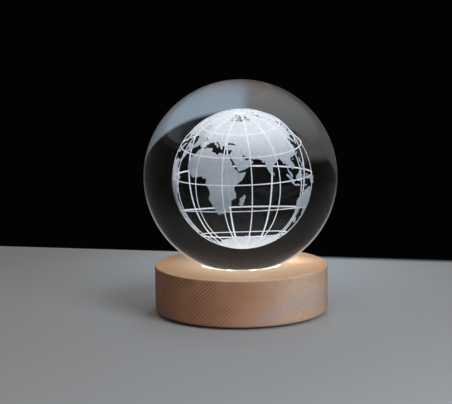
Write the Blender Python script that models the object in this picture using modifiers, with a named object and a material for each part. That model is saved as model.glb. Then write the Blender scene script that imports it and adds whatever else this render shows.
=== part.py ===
"""A solid glass ball on a round turned wooden stand that lights it from below.

The ball rests by its own weight in a conical seat. Under it a clear disc covers a ring of LEDs on a
round board, screwed up into the wood. A power socket and a push switch sit in wells in the stand's
rear, and a screwed plate with rubber feet closes the stand. Metres, +Z up, front towards -Y, origin
at the centre of the surface that the feet stand on.
"""

import math

import bmesh
import bpy
from mathutils import Matrix, Vector

# Overall sizes
BALL_DIAMETER = 0.080
BASE_DIAMETER = 0.072
BASE_HEIGHT = 0.019
FOOT_HEIGHT = 0.001  # how far the feet stand out below the wood

# Clearances
GAP = 0.0003  # between pieces that touch
SOLDER_GAP = 0.00015  # between a soldered piece and its board
SLIDE_GAP = 0.00015  # round a pin or plunger in its hole
OVERRUN = 0.001  # how far a cutter runs past the face that it opens
MERGE_DISTANCE = 0.00001

# The wood: a wall round a pocket, closed on top by a web with a bore for the light
WALL = 0.009
BORE_RADIUS = 0.0146
SEAT_INSET = 0.0006  # from the bore to the circle where the ball touches
SEAT_DEPTH = 0.00062  # of that circle below the top face
TOP_EDGE_ROUND = 0.0005
BOTTOM_EDGE_ROUND = 0.0012
POCKET_ROUND = 0.0015
PLATE_LAND = 0.006  # width of the step that the bottom plate is screwed to

# Clear disc under the ball
LENS_LAP = 0.0016
LENS_THICKNESS = 0.0012
LENS_EDGE_ROUND = 0.0002
LENS_CLEARANCE = 0.0008  # between the ball's lowest point and the disc

# LED board
LED_COUNT = 10
LED_LENGTH = 0.0035
LED_WIDTH = 0.0028
LED_HEIGHT = 0.0008
LED_CUP_RADIUS = 0.00112
LED_CUP_FLOOR_RADIUS = 0.00092
LED_CUP_DEPTH = 0.0004
LED_BEVEL = 0.00012
LED_TO_BORE = 0.0002  # from the LEDs' outer ends to the bore
LED_TO_LENS = 0.0007
BOARD_THICKNESS = 0.0012
BOARD_LAP = 0.0042  # width of the board's rim under the web
BOARD_EDGE = 0.00015
RESISTOR_LENGTH = 0.0032
RESISTOR_WIDTH = 0.0016
RESISTOR_HEIGHT = 0.0006
RESISTOR_BEVEL = 0.00008
RESISTOR_COUNT = 2
RESISTOR_RADIUS = 0.0065

# Bottom plate, its screws and its feet
PLATE_THICKNESS = 0.0016
PLATE_SINK = 0.0002  # of the plate's outer face inside the wood's bottom face
PLATE_EDGE = 0.0004
PLATE_SCREW_COUNT = 4
PLATE_SCREW_INSET = 0.0026  # from the pocket's wall to the screws' axes
FOOT_COUNT = 4
FOOT_RADIUS = 0.0045
FOOT_TAPER = 0.0004
FOOT_ROUND = 0.0004
FOOT_WELL = 0.0004
FOOT_INSET = 0.0028  # from the pocket's wall to the feet's centres

# Screws: head radius, head height, shank radius, length under the head's outer face, driver slots
PLATE_SCREW_HEAD_RADIUS = 0.0021
PLATE_SCREW_HEAD_HEIGHT = 0.0012
PLATE_SCREW_SHANK_RADIUS = 0.0012
PLATE_SCREW_LENGTH = 0.0085
BOARD_SCREW_COUNT = 3
BOARD_SCREW_HEAD_RADIUS = 0.0017
BOARD_SCREW_HEAD_HEIGHT = 0.0010
BOARD_SCREW_HEAD_ROUND = 0.0005
BOARD_SCREW_SHANK_RADIUS = 0.0009
BOARD_SCREW_LENGTH = 0.0052
SCREW_TIP = 0.0014
DRIVE_SLOT_WIDTH = 0.00045
DRIVE_SLOT_DEPTH = 0.0005
DRIVE_SLOT_SHARE = 0.55  # of the head's radius

# Where the socket and the switch sit in the rear wall
REAR_SPREAD_DEGREES = 22.5
BARREL_COVER = 0.0009  # wood between the switch's hole and the plate's step
FLANGE_THICKNESS = 0.0012
FLANGE_ROUND = 0.0003
FLANGE_SINK = 0.0003  # of the flanges' faces inside the wall's outer face

# Power socket for a round plug with a 3.5 mm sleeve and a 1.35 mm pin hole
JACK_FLANGE_RADIUS = 0.0046
JACK_BARREL_RADIUS = 0.0032
JACK_BARREL_LENGTH = 0.011
JACK_BORE_RADIUS = 0.0020
JACK_BORE_DEPTH = 0.010
JACK_MOUTH_CHAMFER = 0.0003
JACK_PIN_RADIUS = 0.00062
JACK_PIN_SINK = 0.0012  # of the pin's tip inside the socket's face
JACK_PIN_TIP = 0.0004
JACK_TAIL = 0.0026  # of the terminals behind the socket
CONTACT_WIDTH = 0.0011
CONTACT_THICKNESS = 0.0002
CONTACT_DEPTH = 0.00245  # of the strip's straight part from the axis
CONTACT_BOW = 0.00062  # of its sprung part towards the axis
CONTACT_GROOVE_DEPTH = 0.00268

# Push switch
SWITCH_FLANGE_RADIUS = 0.0050
SWITCH_BARREL_RADIUS = 0.0035
SWITCH_BARREL_LENGTH = 0.010
SWITCH_CHAMBER_RADIUS = 0.0029
BUTTON_RADIUS = 0.00225
BUTTON_PROUD = 0.0018
BUTTON_ROUND = 0.0005
BUTTON_TRAVEL = 0.0012
SHOULDER_RADIUS = 0.00265
SHOULDER_THICKNESS = 0.0015
STEM_RADIUS = 0.0010
STEM_LENGTH = 0.0025
RIVET_RADIUS = 0.0005
RIVET_LENGTH = 0.0008
BRIDGE_RADIUS = 0.0014
BRIDGE_THICKNESS = 0.0004
COVER_THICKNESS = 0.0010
COVER_SPIGOT = 0.0010
TERMINAL_SPREAD = 0.0010  # of each blade from the switch's axis
TERMINAL_WIDTH = 0.0011
TERMINAL_THICKNESS = 0.0003
TERMINAL_TAIL = 0.0027
SPRING_TURNS = 5
SPRING_WIRE_RADIUS = 0.0002
SPRING_RADIUS = 0.0021

# Wires
WIRE_RADIUS = 0.0006
WIRE_LEAD = 0.0022  # straight run out of a terminal
WIRE_PAD_RADIUS = 0.0095  # of the solder pads from the board's centre
WIRE_SAG = 0.0016

# Facets
BALL_SEGMENTS = 56
WOOD_STEPS = 64
DISC_STEPS = 40
BARREL_STEPS = 20
SCREW_STEPS = 12
PIN_STEPS = 12
ARC_STEP = 0.0004  # longest facet of a rounded edge
MOST_ARC_STEPS = 4
BOW_STEPS = 12
SPRING_STEPS = 10
WIRE_STEPS = 16
SHARP_ANGLE = math.radians(30)
FULL_TURN = 2 * math.pi

# Worked out from the sizes above: radii
ball_radius = BALL_DIAMETER / 2
base_radius = BASE_DIAMETER / 2
pocket_radius = base_radius - WALL
rebate_radius = pocket_radius + PLATE_LAND
plate_radius = rebate_radius - GAP
plate_screw_radius = pocket_radius + PLATE_SCREW_INSET
foot_ring_radius = pocket_radius - FOOT_INSET
seat_radius = BORE_RADIUS + SEAT_INSET
lens_recess_radius = BORE_RADIUS + LENS_LAP
board_radius = lens_recess_radius + BOARD_LAP
board_screw_radius = lens_recess_radius + BOARD_LAP / 2
led_ring_radius = BORE_RADIUS - LED_TO_BORE - LED_WIDTH / 2

# Worked out: heights above the surface that the feet stand on
wood_bottom = FOOT_HEIGHT
wood_top = wood_bottom + BASE_HEIGHT
seat_slope = math.asin(seat_radius / ball_radius)
ball_centre_height = (
    wood_top - SEAT_DEPTH + ball_radius * math.cos(seat_slope) + GAP / math.cos(seat_slope)
)
lens_top = ball_centre_height - ball_radius - LENS_CLEARANCE
lens_ledge = lens_top + GAP
lens_bottom = lens_top - LENS_THICKNESS
led_bottom = lens_bottom - LED_TO_LENS - LED_HEIGHT
board_top = led_bottom - SOLDER_GAP
board_bottom = board_top - BOARD_THICKNESS
pocket_ceiling = board_top + GAP
plate_bottom = wood_bottom + PLATE_SINK
plate_top = plate_bottom + PLATE_THICKNESS
rebate_ceiling = plate_top + GAP
switch_hole_radius = SWITCH_BARREL_RADIUS + GAP
rear_axis_height = rebate_ceiling + BARREL_COVER + switch_hole_radius

# Worked out: along the rear axes, outwards from the floor of each well
well_depth = GAP + FLANGE_THICKNESS + FLANGE_SINK
well_distance = base_radius - well_depth
flange_face = GAP + FLANGE_THICKNESS
shoulder_back = -SHOULDER_THICKNESS
stem_end = shoulder_back - STEM_LENGTH
bridge_back = stem_end - GAP - BRIDGE_THICKNESS
blade_tip = bridge_back - BUTTON_TRAVEL - GAP
cover_front = -SWITCH_BARREL_LENGTH + COVER_SPIGOT
cover_back = -SWITCH_BARREL_LENGTH - GAP - COVER_THICKNESS
jack_back = -JACK_BARREL_LENGTH


def clear_scene():
    """Remove every object that the file starts with."""
    for obj in list(bpy.data.objects):
        bpy.data.objects.remove(obj)


def new_collection(name):
    """A collection linked to the scene."""
    collection = bpy.data.collections.new(name)
    bpy.context.scene.collection.children.link(collection)
    return collection


def new_material(name, colour, roughness, metallic=0, transmission=0):
    """A Principled material with one colour."""
    material = bpy.data.materials.new(name)
    material.use_nodes = True
    shader = material.node_tree.nodes["Principled BSDF"]
    shader.inputs["Base Color"].default_value = (*colour, 1)
    shader.inputs["Roughness"].default_value = roughness
    shader.inputs["Metallic"].default_value = metallic
    shader.inputs["Transmission Weight"].default_value = transmission
    return material


def add_object(name, data, collection, material=None, parent=None, matrix=None):
    """An object that holds the data, placed in its parent's frame."""
    obj = bpy.data.objects.new(name, data)
    collection.objects.link(obj)
    obj.parent = parent
    obj.matrix_local = matrix or Matrix()
    if material and not data.materials:
        data.materials.append(material)
    return obj


def shade(mesh):
    """Smooth shading, with the edges sharper than SHARP_ANGLE left sharp."""
    mesh.shade_smooth()
    mesh.set_sharp_from_angle(angle=SHARP_ANGLE)


def evaluated_mesh(obj):
    """A new mesh of the object as its modifiers make it."""
    bpy.context.view_layer.update()
    graph = bpy.context.evaluated_depsgraph_get()
    return bpy.data.meshes.new_from_object(obj.evaluated_get(graph))


def realise(obj):
    """Give the object the mesh that its modifiers make, and shade it."""
    mesh = evaluated_mesh(obj)
    obj.modifiers.clear()
    old = obj.data
    obj.data = mesh
    bpy.data.meshes.remove(old)
    mesh.name = obj.name
    shade(mesh)
    return obj


def arc_at(before, corner, after, radius):
    """Points of the arc that rounds the corner between two straight runs."""
    back = (Vector(before) - Vector(corner)).normalized()
    ahead = (Vector(after) - Vector(corner)).normalized()
    half = back.angle(ahead) / 2
    reach = radius / math.tan(half)
    centre = Vector(corner) + (back + ahead).normalized() * radius / math.sin(half)
    start = Vector(corner) + back * reach - centre
    end = Vector(corner) + ahead * reach - centre
    sweep = math.pi - 2 * half
    steps = min(math.ceil(sweep * radius / ARC_STEP), MOST_ARC_STEPS)
    points = []
    for step in range(steps + 1):
        share = step / steps
        weight_start = math.sin((1 - share) * sweep) / math.sin(sweep)
        weight_end = math.sin(share * sweep) / math.sin(sweep)
        points.append(tuple(centre + start * weight_start + end * weight_end))
    return points


def rounded(corners):
    """A profile's points. A corner is (radius, height) or (radius, height, rounding)."""
    points = []
    for index, corner in enumerate(corners):
        if len(corner) == 2:
            points.append(corner)
            continue
        before = corners[index - 1][:2]
        after = corners[(index + 1) % len(corners)][:2]
        points.extend(arc_at(before, corner[:2], after, corner[2]))
    return points


def turned(name, corners, steps, collection, material=None, parent=None, matrix=None):
    """A profile turned about Z, with the middle of a facet at +X.

    It runs down the outer side, and makes a ring if it leaves the axis.
    """
    profile = rounded(corners)
    along, across = math.cos(math.pi / steps), math.sin(math.pi / steps)
    edges = [(index, index + 1) for index in range(len(profile) - 1)]
    if corners[0][0] > 0:
        edges.append((len(profile) - 1, 0))
    mesh = bpy.data.meshes.new(name)
    points = [(radius * along, radius * across, height) for radius, height in profile]
    mesh.from_pydata(points, edges, [])
    obj = add_object(name, mesh, collection, material, parent, matrix)
    screw = obj.modifiers.new("Turn", "SCREW")
    screw.steps = steps
    screw.render_steps = steps
    screw.use_merge_vertices = True
    screw.merge_threshold = MERGE_DISTANCE
    return realise(obj)


def box_mesh(name, size, centre=(0, 0, 0)):
    """A box of this size, centred on a point."""
    mesh = bpy.data.meshes.new(name)
    shape = bmesh.new()
    bmesh.ops.create_cube(shape, size=1)
    bmesh.ops.scale(shape, vec=size, verts=shape.verts)
    bmesh.ops.translate(shape, vec=centre, verts=shape.verts)
    shape.to_mesh(mesh)
    shape.free()
    return mesh


def bevel(obj, width, segments=1):
    """Round the object's sharp edges."""
    modifier = obj.modifiers.new("Edges", "BEVEL")
    modifier.width = width
    modifier.segments = segments
    modifier.limit_method = "ANGLE"
    modifier.angle_limit = SHARP_ANGLE


def cut(obj, cutters):
    """Take the cutters out of the object."""
    for cutter in cutters:
        cutter.hide_render = True
        cutter.display_type = "WIRE"
        modifier = obj.modifiers.new("Cut " + cutter.name, "BOOLEAN")
        modifier.operation = "DIFFERENCE"
        modifier.solver = "EXACT"
        modifier.object = cutter
    return realise(obj)


def curve_mesh(name, curve):
    """A closed mesh of a curve's solid, with its caps welded to its sides."""
    guide = bpy.data.objects.new(name, curve)
    bpy.context.scene.collection.objects.link(guide)
    mesh = evaluated_mesh(guide)
    bpy.data.objects.remove(guide)
    shape = bmesh.new()
    shape.from_mesh(mesh)
    bmesh.ops.remove_doubles(shape, verts=shape.verts, dist=MERGE_DISTANCE)
    bmesh.ops.recalc_face_normals(shape, faces=shape.faces)
    shape.to_mesh(mesh)
    shape.free()
    mesh.name = name
    shade(mesh)
    return mesh


def tube_mesh(name, points, radius, resolution):
    """A round tube along a line of points, closed at both ends."""
    curve = bpy.data.curves.new(name, "CURVE")
    curve.dimensions = "3D"
    curve.bevel_depth = radius
    curve.bevel_resolution = resolution
    curve.use_fill_caps = True
    spline = curve.splines.new("POLY")
    spline.points.add(len(points) - 1)
    for point, place in zip(spline.points, points):
        point.co = (*place, 1)
    return curve_mesh(name, curve)


def plate_mesh(name, outline, thickness):
    """A flat outline in the XY plane with half its thickness on each side."""
    curve = bpy.data.curves.new(name, "CURVE")
    curve.dimensions = "2D"
    curve.fill_mode = "BOTH"
    curve.extrude = thickness / 2
    spline = curve.splines.new("POLY")
    spline.points.add(len(outline) - 1)
    spline.use_cyclic_u = True
    for point, (x, y) in zip(spline.points, outline):
        point.co = (x, y, 0, 1)
    return curve_mesh(name, curve)


def smooth_route(points, steps):
    """Points at even shares of a Catmull-Rom curve through the route's own points."""
    route = [Vector(point) for point in points]
    route = [2 * route[0] - route[1], *route, 2 * route[-1] - route[-2]]
    spans = len(route) - 3
    places = []
    for step in range(steps + 1):
        at = min(step * spans / steps, spans - MERGE_DISTANCE)
        first = int(at)
        share = at - first
        before, start, end, after = route[first : first + 4]
        places.append(
            (
                2 * start
                + (end - before) * share
                + (2 * before - 5 * start + 4 * end - after) * share**2
                + (3 * start - before - 3 * end + after) * share**3
            )
            / 2
        )
    return places


def ring_places(count, radius, height, start_degrees=0):
    """Matrices at even steps round a circle, each with its X axis pointing outwards."""
    places = []
    for index in range(count):
        turn = Matrix.Rotation(math.radians(start_degrees) + FULL_TURN * index / count, 4, "Z")
        places.append(turn @ Matrix.Translation((radius, 0, height)))
    return places


def rear_frame(side):
    """The frame of a rear well: +Z out of the wall, +Y up, origin on the well's floor."""
    azimuth = math.radians(90 + side * REAR_SPREAD_DEGREES)
    outward = Vector((math.cos(azimuth), math.sin(azimuth), 0))
    up = Vector((0, 0, 1))
    turn = Matrix((up.cross(outward), up, outward)).transposed().to_4x4()
    return Matrix.Translation(outward * well_distance + up * rear_axis_height) @ turn


def make_ball(parts):
    """The solid glass ball, with its origin at its centre."""
    mesh = bpy.data.meshes.new("crystal_ball")
    shape = bmesh.new()
    bmesh.ops.create_uvsphere(
        shape, u_segments=BALL_SEGMENTS, v_segments=BALL_SEGMENTS // 2, radius=ball_radius
    )
    shape.to_mesh(mesh)
    shape.free()
    mesh.shade_smooth()
    glass = new_material("optical_glass", (0.98, 0.98, 0.98), 0.0, transmission=1)
    place = Matrix.Translation((0, 0, ball_centre_height))
    return add_object("crystal_ball", mesh, parts, glass, matrix=place)


def well_cutter(name, frame, flange_radius, barrel_radius, length, cutters):
    """A stepped cutter for a flanged barrel let into the rear wall."""
    well_radius = flange_radius + GAP
    hole_radius = barrel_radius + GAP
    corners = [
        (0, well_depth + OVERRUN),
        (well_radius, well_depth + OVERRUN),
        (well_radius, 0),
        (hole_radius, 0),
        (hole_radius, -length - GAP),
        (0, -length - GAP),
    ]
    return turned(name, corners, BARREL_STEPS, cutters, matrix=frame)


def pilot_cutter(name, place, radius, tip, mouth, cutters):
    """A straight cutter up into the wood for a screw's shank, from its mouth to past its tip."""
    corners = [
        (0, tip + GAP),
        (radius + SLIDE_GAP, tip + GAP),
        (radius + SLIDE_GAP, mouth - OVERRUN),
        (0, mouth - OVERRUN),
    ]
    return turned(name, corners, SCREW_STEPS, cutters, matrix=place)


def make_wood(parts, cutters, jack_frame, switch_frame):
    """The turned stand: seat, bore, step for the clear disc, pocket and step for the plate."""
    corners = [
        (base_radius, wood_top, TOP_EDGE_ROUND),
        (base_radius, wood_bottom, BOTTOM_EDGE_ROUND),
        (rebate_radius, wood_bottom),
        (rebate_radius, rebate_ceiling),
        (pocket_radius, rebate_ceiling),
        (pocket_radius, pocket_ceiling, POCKET_ROUND),
        (lens_recess_radius, pocket_ceiling),
        (lens_recess_radius, lens_ledge),
        (BORE_RADIUS, lens_ledge),
        (BORE_RADIUS, wood_top - SEAT_DEPTH - SEAT_INSET * math.tan(seat_slope)),
        (seat_radius + SEAT_DEPTH / math.tan(seat_slope), wood_top),
    ]
    beech = new_material("beech", (0.62, 0.40, 0.24), 0.5)
    wood = turned("wood_base", corners, WOOD_STEPS, parts, beech)
    tools = [
        well_cutter(
            "jack_well", jack_frame, JACK_FLANGE_RADIUS, JACK_BARREL_RADIUS, -jack_back, cutters
        ),
        well_cutter(
            "switch_well",
            switch_frame,
            SWITCH_FLANGE_RADIUS,
            SWITCH_BARREL_RADIUS,
            -cover_back,
            cutters,
        ),
    ]
    for index, place in enumerate(plate_screw_places(0)):
        tip = plate_bottom + PLATE_SCREW_LENGTH
        radius = PLATE_SCREW_SHANK_RADIUS
        name = f"plate_pilot_{index + 1}"
        tools.append(pilot_cutter(name, place, radius, tip, rebate_ceiling, cutters))
    for index, place in enumerate(board_screw_places(0)):
        tip = board_screw_seat() + BOARD_SCREW_LENGTH
        radius = BOARD_SCREW_SHANK_RADIUS
        name = f"board_pilot_{index + 1}"
        tools.append(pilot_cutter(name, place, radius, tip, pocket_ceiling, cutters))
    return cut(wood, tools)


def plate_screw_places(height):
    """Where the bottom plate's screws go, between the feet."""
    return ring_places(PLATE_SCREW_COUNT, plate_screw_radius, height, 45)


def board_screw_places(height):
    """Where the LED board's screws go."""
    return ring_places(BOARD_SCREW_COUNT, board_screw_radius, height, 30)


def board_screw_seat():
    """Height of the underside of the board screws' heads."""
    return board_bottom - GAP


def make_lens(parts):
    """The clear disc between the ball and the LEDs."""
    corners = [
        (0, LENS_THICKNESS),
        (lens_recess_radius - GAP, LENS_THICKNESS, LENS_EDGE_ROUND),
        (lens_recess_radius - GAP, 0, LENS_EDGE_ROUND),
        (0, 0),
    ]
    acrylic = new_material("clear_acrylic", (0.95, 0.97, 0.98), 0.05, transmission=1)
    place = Matrix.Translation((0, 0, lens_bottom))
    return turned("lens_disc", corners, DISC_STEPS, parts, acrylic, matrix=place)


def make_board(parts, cutters):
    """The round LED board with its three screw holes."""
    corners = [
        (0, BOARD_THICKNESS),
        (board_radius, BOARD_THICKNESS, BOARD_EDGE),
        (board_radius, 0, BOARD_EDGE),
        (0, 0),
    ]
    laminate = new_material("white_board", (0.85, 0.86, 0.84), 0.35)
    place = Matrix.Translation((0, 0, board_bottom))
    board = turned("led_board", corners, DISC_STEPS, parts, laminate, matrix=place)
    holes = []
    for index, spot in enumerate(board_screw_places(board_bottom)):
        radius = BOARD_SCREW_SHANK_RADIUS + SLIDE_GAP
        outline = [
            (0, BOARD_THICKNESS + OVERRUN),
            (radius, BOARD_THICKNESS + OVERRUN),
            (radius, -OVERRUN),
            (0, -OVERRUN),
        ]
        name = f"board_hole_{index + 1}"
        holes.append(turned(name, outline, SCREW_STEPS, cutters, matrix=spot))
    return cut(board, holes)


def make_leds(parts, cutters):
    """Ten surface-mount LEDs, each a small box with a round cup."""
    centre = (0, 0, LED_HEIGHT / 2)
    body = add_object(
        "led_01",
        box_mesh("led", (LED_WIDTH, LED_LENGTH, LED_HEIGHT), centre),
        parts,
        new_material("led_package", (0.95, 0.90, 0.62), 0.4),
    )
    bevel(body, LED_BEVEL)
    cup = turned(
        "led_cup",
        [
            (0, LED_HEIGHT + LED_CUP_DEPTH),
            (2 * LED_CUP_RADIUS - LED_CUP_FLOOR_RADIUS, LED_HEIGHT + LED_CUP_DEPTH),
            (LED_CUP_FLOOR_RADIUS, LED_HEIGHT - LED_CUP_DEPTH),
            (0, LED_HEIGHT - LED_CUP_DEPTH),
        ],
        PIN_STEPS,
        cutters,
    )
    cut(body, [cup])
    places = ring_places(LED_COUNT, led_ring_radius, led_bottom, 90 + 180 / LED_COUNT)
    body.matrix_local = places[0]
    for index, place in enumerate(places[1:]):
        add_object(f"led_{index + 2:02d}", body.data, parts, matrix=place)


def make_resistors(parts):
    """The chip resistors in the middle of the LED ring."""
    size = (RESISTOR_WIDTH, RESISTOR_LENGTH, RESISTOR_HEIGHT)
    mesh = box_mesh("resistor", size, (0, 0, RESISTOR_HEIGHT / 2))
    ceramic = new_material("resistor_ceramic", (0.05, 0.05, 0.05), 0.5)
    height = board_top + SOLDER_GAP
    for index, place in enumerate(ring_places(RESISTOR_COUNT, RESISTOR_RADIUS, height)):
        resistor = add_object(f"resistor_{index + 1}", mesh, parts, ceramic, matrix=place)
        bevel(resistor, RESISTOR_BEVEL)


def screw_mesh(name, corners, head_radius, cutters, parts, material):
    """A screw turned about Z, head up, with a cross slot in its head."""
    screw = turned(name, corners, SCREW_STEPS, parts, material)
    arm = 2 * head_radius * DRIVE_SLOT_SHARE
    slots = []
    for index, size in enumerate(((arm, DRIVE_SLOT_WIDTH), (DRIVE_SLOT_WIDTH, arm))):
        slot_name = f"{name}_slot_{index + 1}"
        slot = box_mesh(slot_name, (*size, 2 * DRIVE_SLOT_DEPTH), (0, 0, corners[0][1]))
        slots.append(add_object(slot_name, slot, cutters))
    return cut(screw, slots)


def place_screws(first, places, stem, parts):
    """Put the first screw, and copies of it, into their places from below."""
    over = Matrix.Rotation(math.pi, 4, "X")
    first.matrix_local = places[0] @ over
    for index, place in enumerate(places[1:]):
        add_object(f"{stem}_{index + 2}", first.data, parts, matrix=place @ over)


def make_screws(parts, cutters):
    """Countersunk screws for the bottom plate and dome-headed ones for the LED board."""
    steel = new_material("screw_steel", (0.55, 0.55, 0.56), 0.3, metallic=1)
    plate_screw = screw_mesh(
        "plate_screw_1",
        [
            (0, 0),
            (PLATE_SCREW_HEAD_RADIUS, 0),
            (PLATE_SCREW_SHANK_RADIUS, -PLATE_SCREW_HEAD_HEIGHT),
            (PLATE_SCREW_SHANK_RADIUS, SCREW_TIP - PLATE_SCREW_LENGTH),
            (0, -PLATE_SCREW_LENGTH),
        ],
        PLATE_SCREW_HEAD_RADIUS,
        cutters,
        parts,
        steel,
    )
    place_screws(plate_screw, plate_screw_places(plate_bottom), "plate_screw", parts)
    board_screw = screw_mesh(
        "board_screw_1",
        [
            (0, BOARD_SCREW_HEAD_HEIGHT),
            (BOARD_SCREW_HEAD_RADIUS, BOARD_SCREW_HEAD_HEIGHT, BOARD_SCREW_HEAD_ROUND),
            (BOARD_SCREW_HEAD_RADIUS, 0),
            (BOARD_SCREW_SHANK_RADIUS, 0),
            (BOARD_SCREW_SHANK_RADIUS, SCREW_TIP - BOARD_SCREW_LENGTH),
            (0, -BOARD_SCREW_LENGTH),
        ],
        BOARD_SCREW_HEAD_RADIUS,
        cutters,
        parts,
        steel,
    )
    place_screws(board_screw, board_screw_places(board_screw_seat()), "board_screw", parts)


def make_plate(parts, cutters):
    """The plate that closes the stand, with countersunk holes and wells for the feet."""
    corners = [
        (0, PLATE_THICKNESS),
        (plate_radius, PLATE_THICKNESS, PLATE_EDGE),
        (plate_radius, 0, PLATE_EDGE),
        (0, 0),
    ]
    plastic = new_material("black_plastic", (0.03, 0.03, 0.03), 0.45)
    place = Matrix.Translation((0, 0, plate_bottom))
    plate = turned("base_plate", corners, DISC_STEPS, parts, plastic, matrix=place)
    tools = []
    hole_radius = PLATE_SCREW_SHANK_RADIUS + GAP
    slant = (PLATE_SCREW_HEAD_RADIUS - PLATE_SCREW_SHANK_RADIUS) / PLATE_SCREW_HEAD_HEIGHT
    countersink_radius = PLATE_SCREW_HEAD_RADIUS + GAP
    for index, spot in enumerate(plate_screw_places(plate_bottom)):
        outline = [
            (0, PLATE_THICKNESS + OVERRUN),
            (hole_radius, PLATE_THICKNESS + OVERRUN),
            (hole_radius, PLATE_SCREW_HEAD_HEIGHT),
            (countersink_radius + slant * OVERRUN, -OVERRUN),
            (0, -OVERRUN),
        ]
        name = f"countersink_{index + 1}"
        tools.append(turned(name, outline, SCREW_STEPS, cutters, matrix=spot))
    for index, spot in enumerate(foot_places(plate_bottom)):
        outline = [
            (0, FOOT_WELL),
            (FOOT_RADIUS + GAP, FOOT_WELL),
            (FOOT_RADIUS + GAP, -OVERRUN),
            (0, -OVERRUN),
        ]
        name = f"foot_well_{index + 1}"
        tools.append(turned(name, outline, BARREL_STEPS, cutters, matrix=spot))
    return cut(plate, tools)


def foot_places(height):
    """Where the rubber feet go."""
    return ring_places(FOOT_COUNT, foot_ring_radius, height)


def make_feet(parts):
    """Rubber feet stuck into the plate's wells."""
    thickness = plate_bottom + FOOT_WELL - GAP
    corners = [
        (0, thickness),
        (FOOT_RADIUS, thickness),
        (FOOT_RADIUS, wood_bottom),
        (FOOT_RADIUS - FOOT_TAPER, 0, FOOT_ROUND),
        (0, 0),
    ]
    rubber = new_material("grey_rubber", (0.08, 0.08, 0.08), 0.9)
    places = foot_places(0)
    first = turned("foot_1", corners, BARREL_STEPS, parts, rubber, matrix=places[0])
    for index, place in enumerate(places[1:]):
        add_object(f"foot_{index + 2}", first.data, parts, matrix=place)


def contact_outline():
    """Side outline of the socket's sprung strip, as (distance along the axis, depth from it)."""
    tail = jack_back - JACK_TAIL
    bore_end = flange_face - JACK_BORE_DEPTH
    mouth = flange_face - JACK_PIN_SINK
    middle = (bore_end + mouth) / 2
    route = [
        (bore_end, -CONTACT_DEPTH, 0),
        ((bore_end + middle) / 2, -CONTACT_DEPTH + CONTACT_BOW / 2, 0),
        (middle, -CONTACT_DEPTH + CONTACT_BOW, 0),
        ((middle + mouth) / 2, -CONTACT_DEPTH + CONTACT_BOW / 2, 0),
    ]
    line = [(tail, -CONTACT_DEPTH)]
    line += [(point.x, point.y) for point in smooth_route(route, BOW_STEPS)]
    upper = [(x, y + CONTACT_THICKNESS / 2) for x, y in line]
    lower = [(x, y - CONTACT_THICKNESS / 2) for x, y in line]
    return lower + upper[::-1]


def make_jack(parts, cutters, frame):
    """The power socket: a flanged housing, its centre pin and its sprung side contact."""
    origin = add_object("jack_frame", None, parts, matrix=frame)
    plastic = new_material("socket_plastic", (0.02, 0.02, 0.02), 0.4)
    brass = new_material("socket_brass", (0.72, 0.66, 0.50), 0.25, metallic=1)
    bore_end = flange_face - JACK_BORE_DEPTH
    housing = turned(
        "jack_housing",
        [
            (JACK_BORE_RADIUS + JACK_MOUTH_CHAMFER, flange_face),
            (JACK_FLANGE_RADIUS, flange_face, FLANGE_ROUND),
            (JACK_FLANGE_RADIUS, GAP),
            (JACK_BARREL_RADIUS, GAP),
            (JACK_BARREL_RADIUS, jack_back),
            (JACK_PIN_RADIUS + SLIDE_GAP, jack_back),
            (JACK_PIN_RADIUS + SLIDE_GAP, bore_end),
            (JACK_BORE_RADIUS, bore_end),
            (JACK_BORE_RADIUS, flange_face - JACK_MOUTH_CHAMFER),
        ],
        BARREL_STEPS,
        parts,
        plastic,
        origin,
    )
    groove_front = flange_face - JACK_PIN_SINK
    groove_length = groove_front - jack_back + OVERRUN
    groove_top = CONTACT_DEPTH - CONTACT_BOW - CONTACT_THICKNESS
    groove = add_object(
        "contact_groove",
        box_mesh(
            "contact_groove",
            (CONTACT_WIDTH + 2 * SLIDE_GAP, CONTACT_GROOVE_DEPTH - groove_top, groove_length),
            (0, -(CONTACT_GROOVE_DEPTH + groove_top) / 2, groove_front - groove_length / 2),
        ),
        cutters,
        matrix=frame,
    )
    cut(housing, [groove])
    turned(
        "jack_pin",
        [
            (0, flange_face - JACK_PIN_SINK),
            (JACK_PIN_RADIUS, flange_face - JACK_PIN_SINK, JACK_PIN_TIP),
            (JACK_PIN_RADIUS, jack_back - JACK_TAIL),
            (0, jack_back - JACK_TAIL),
        ],
        PIN_STEPS,
        parts,
        brass,
        origin,
    )
    strip = plate_mesh("jack_contact", contact_outline(), CONTACT_WIDTH)
    edge_on = Matrix.Rotation(-math.pi / 2, 4, "Y")
    add_object("jack_contact", strip, parts, brass, origin, edge_on)


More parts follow.
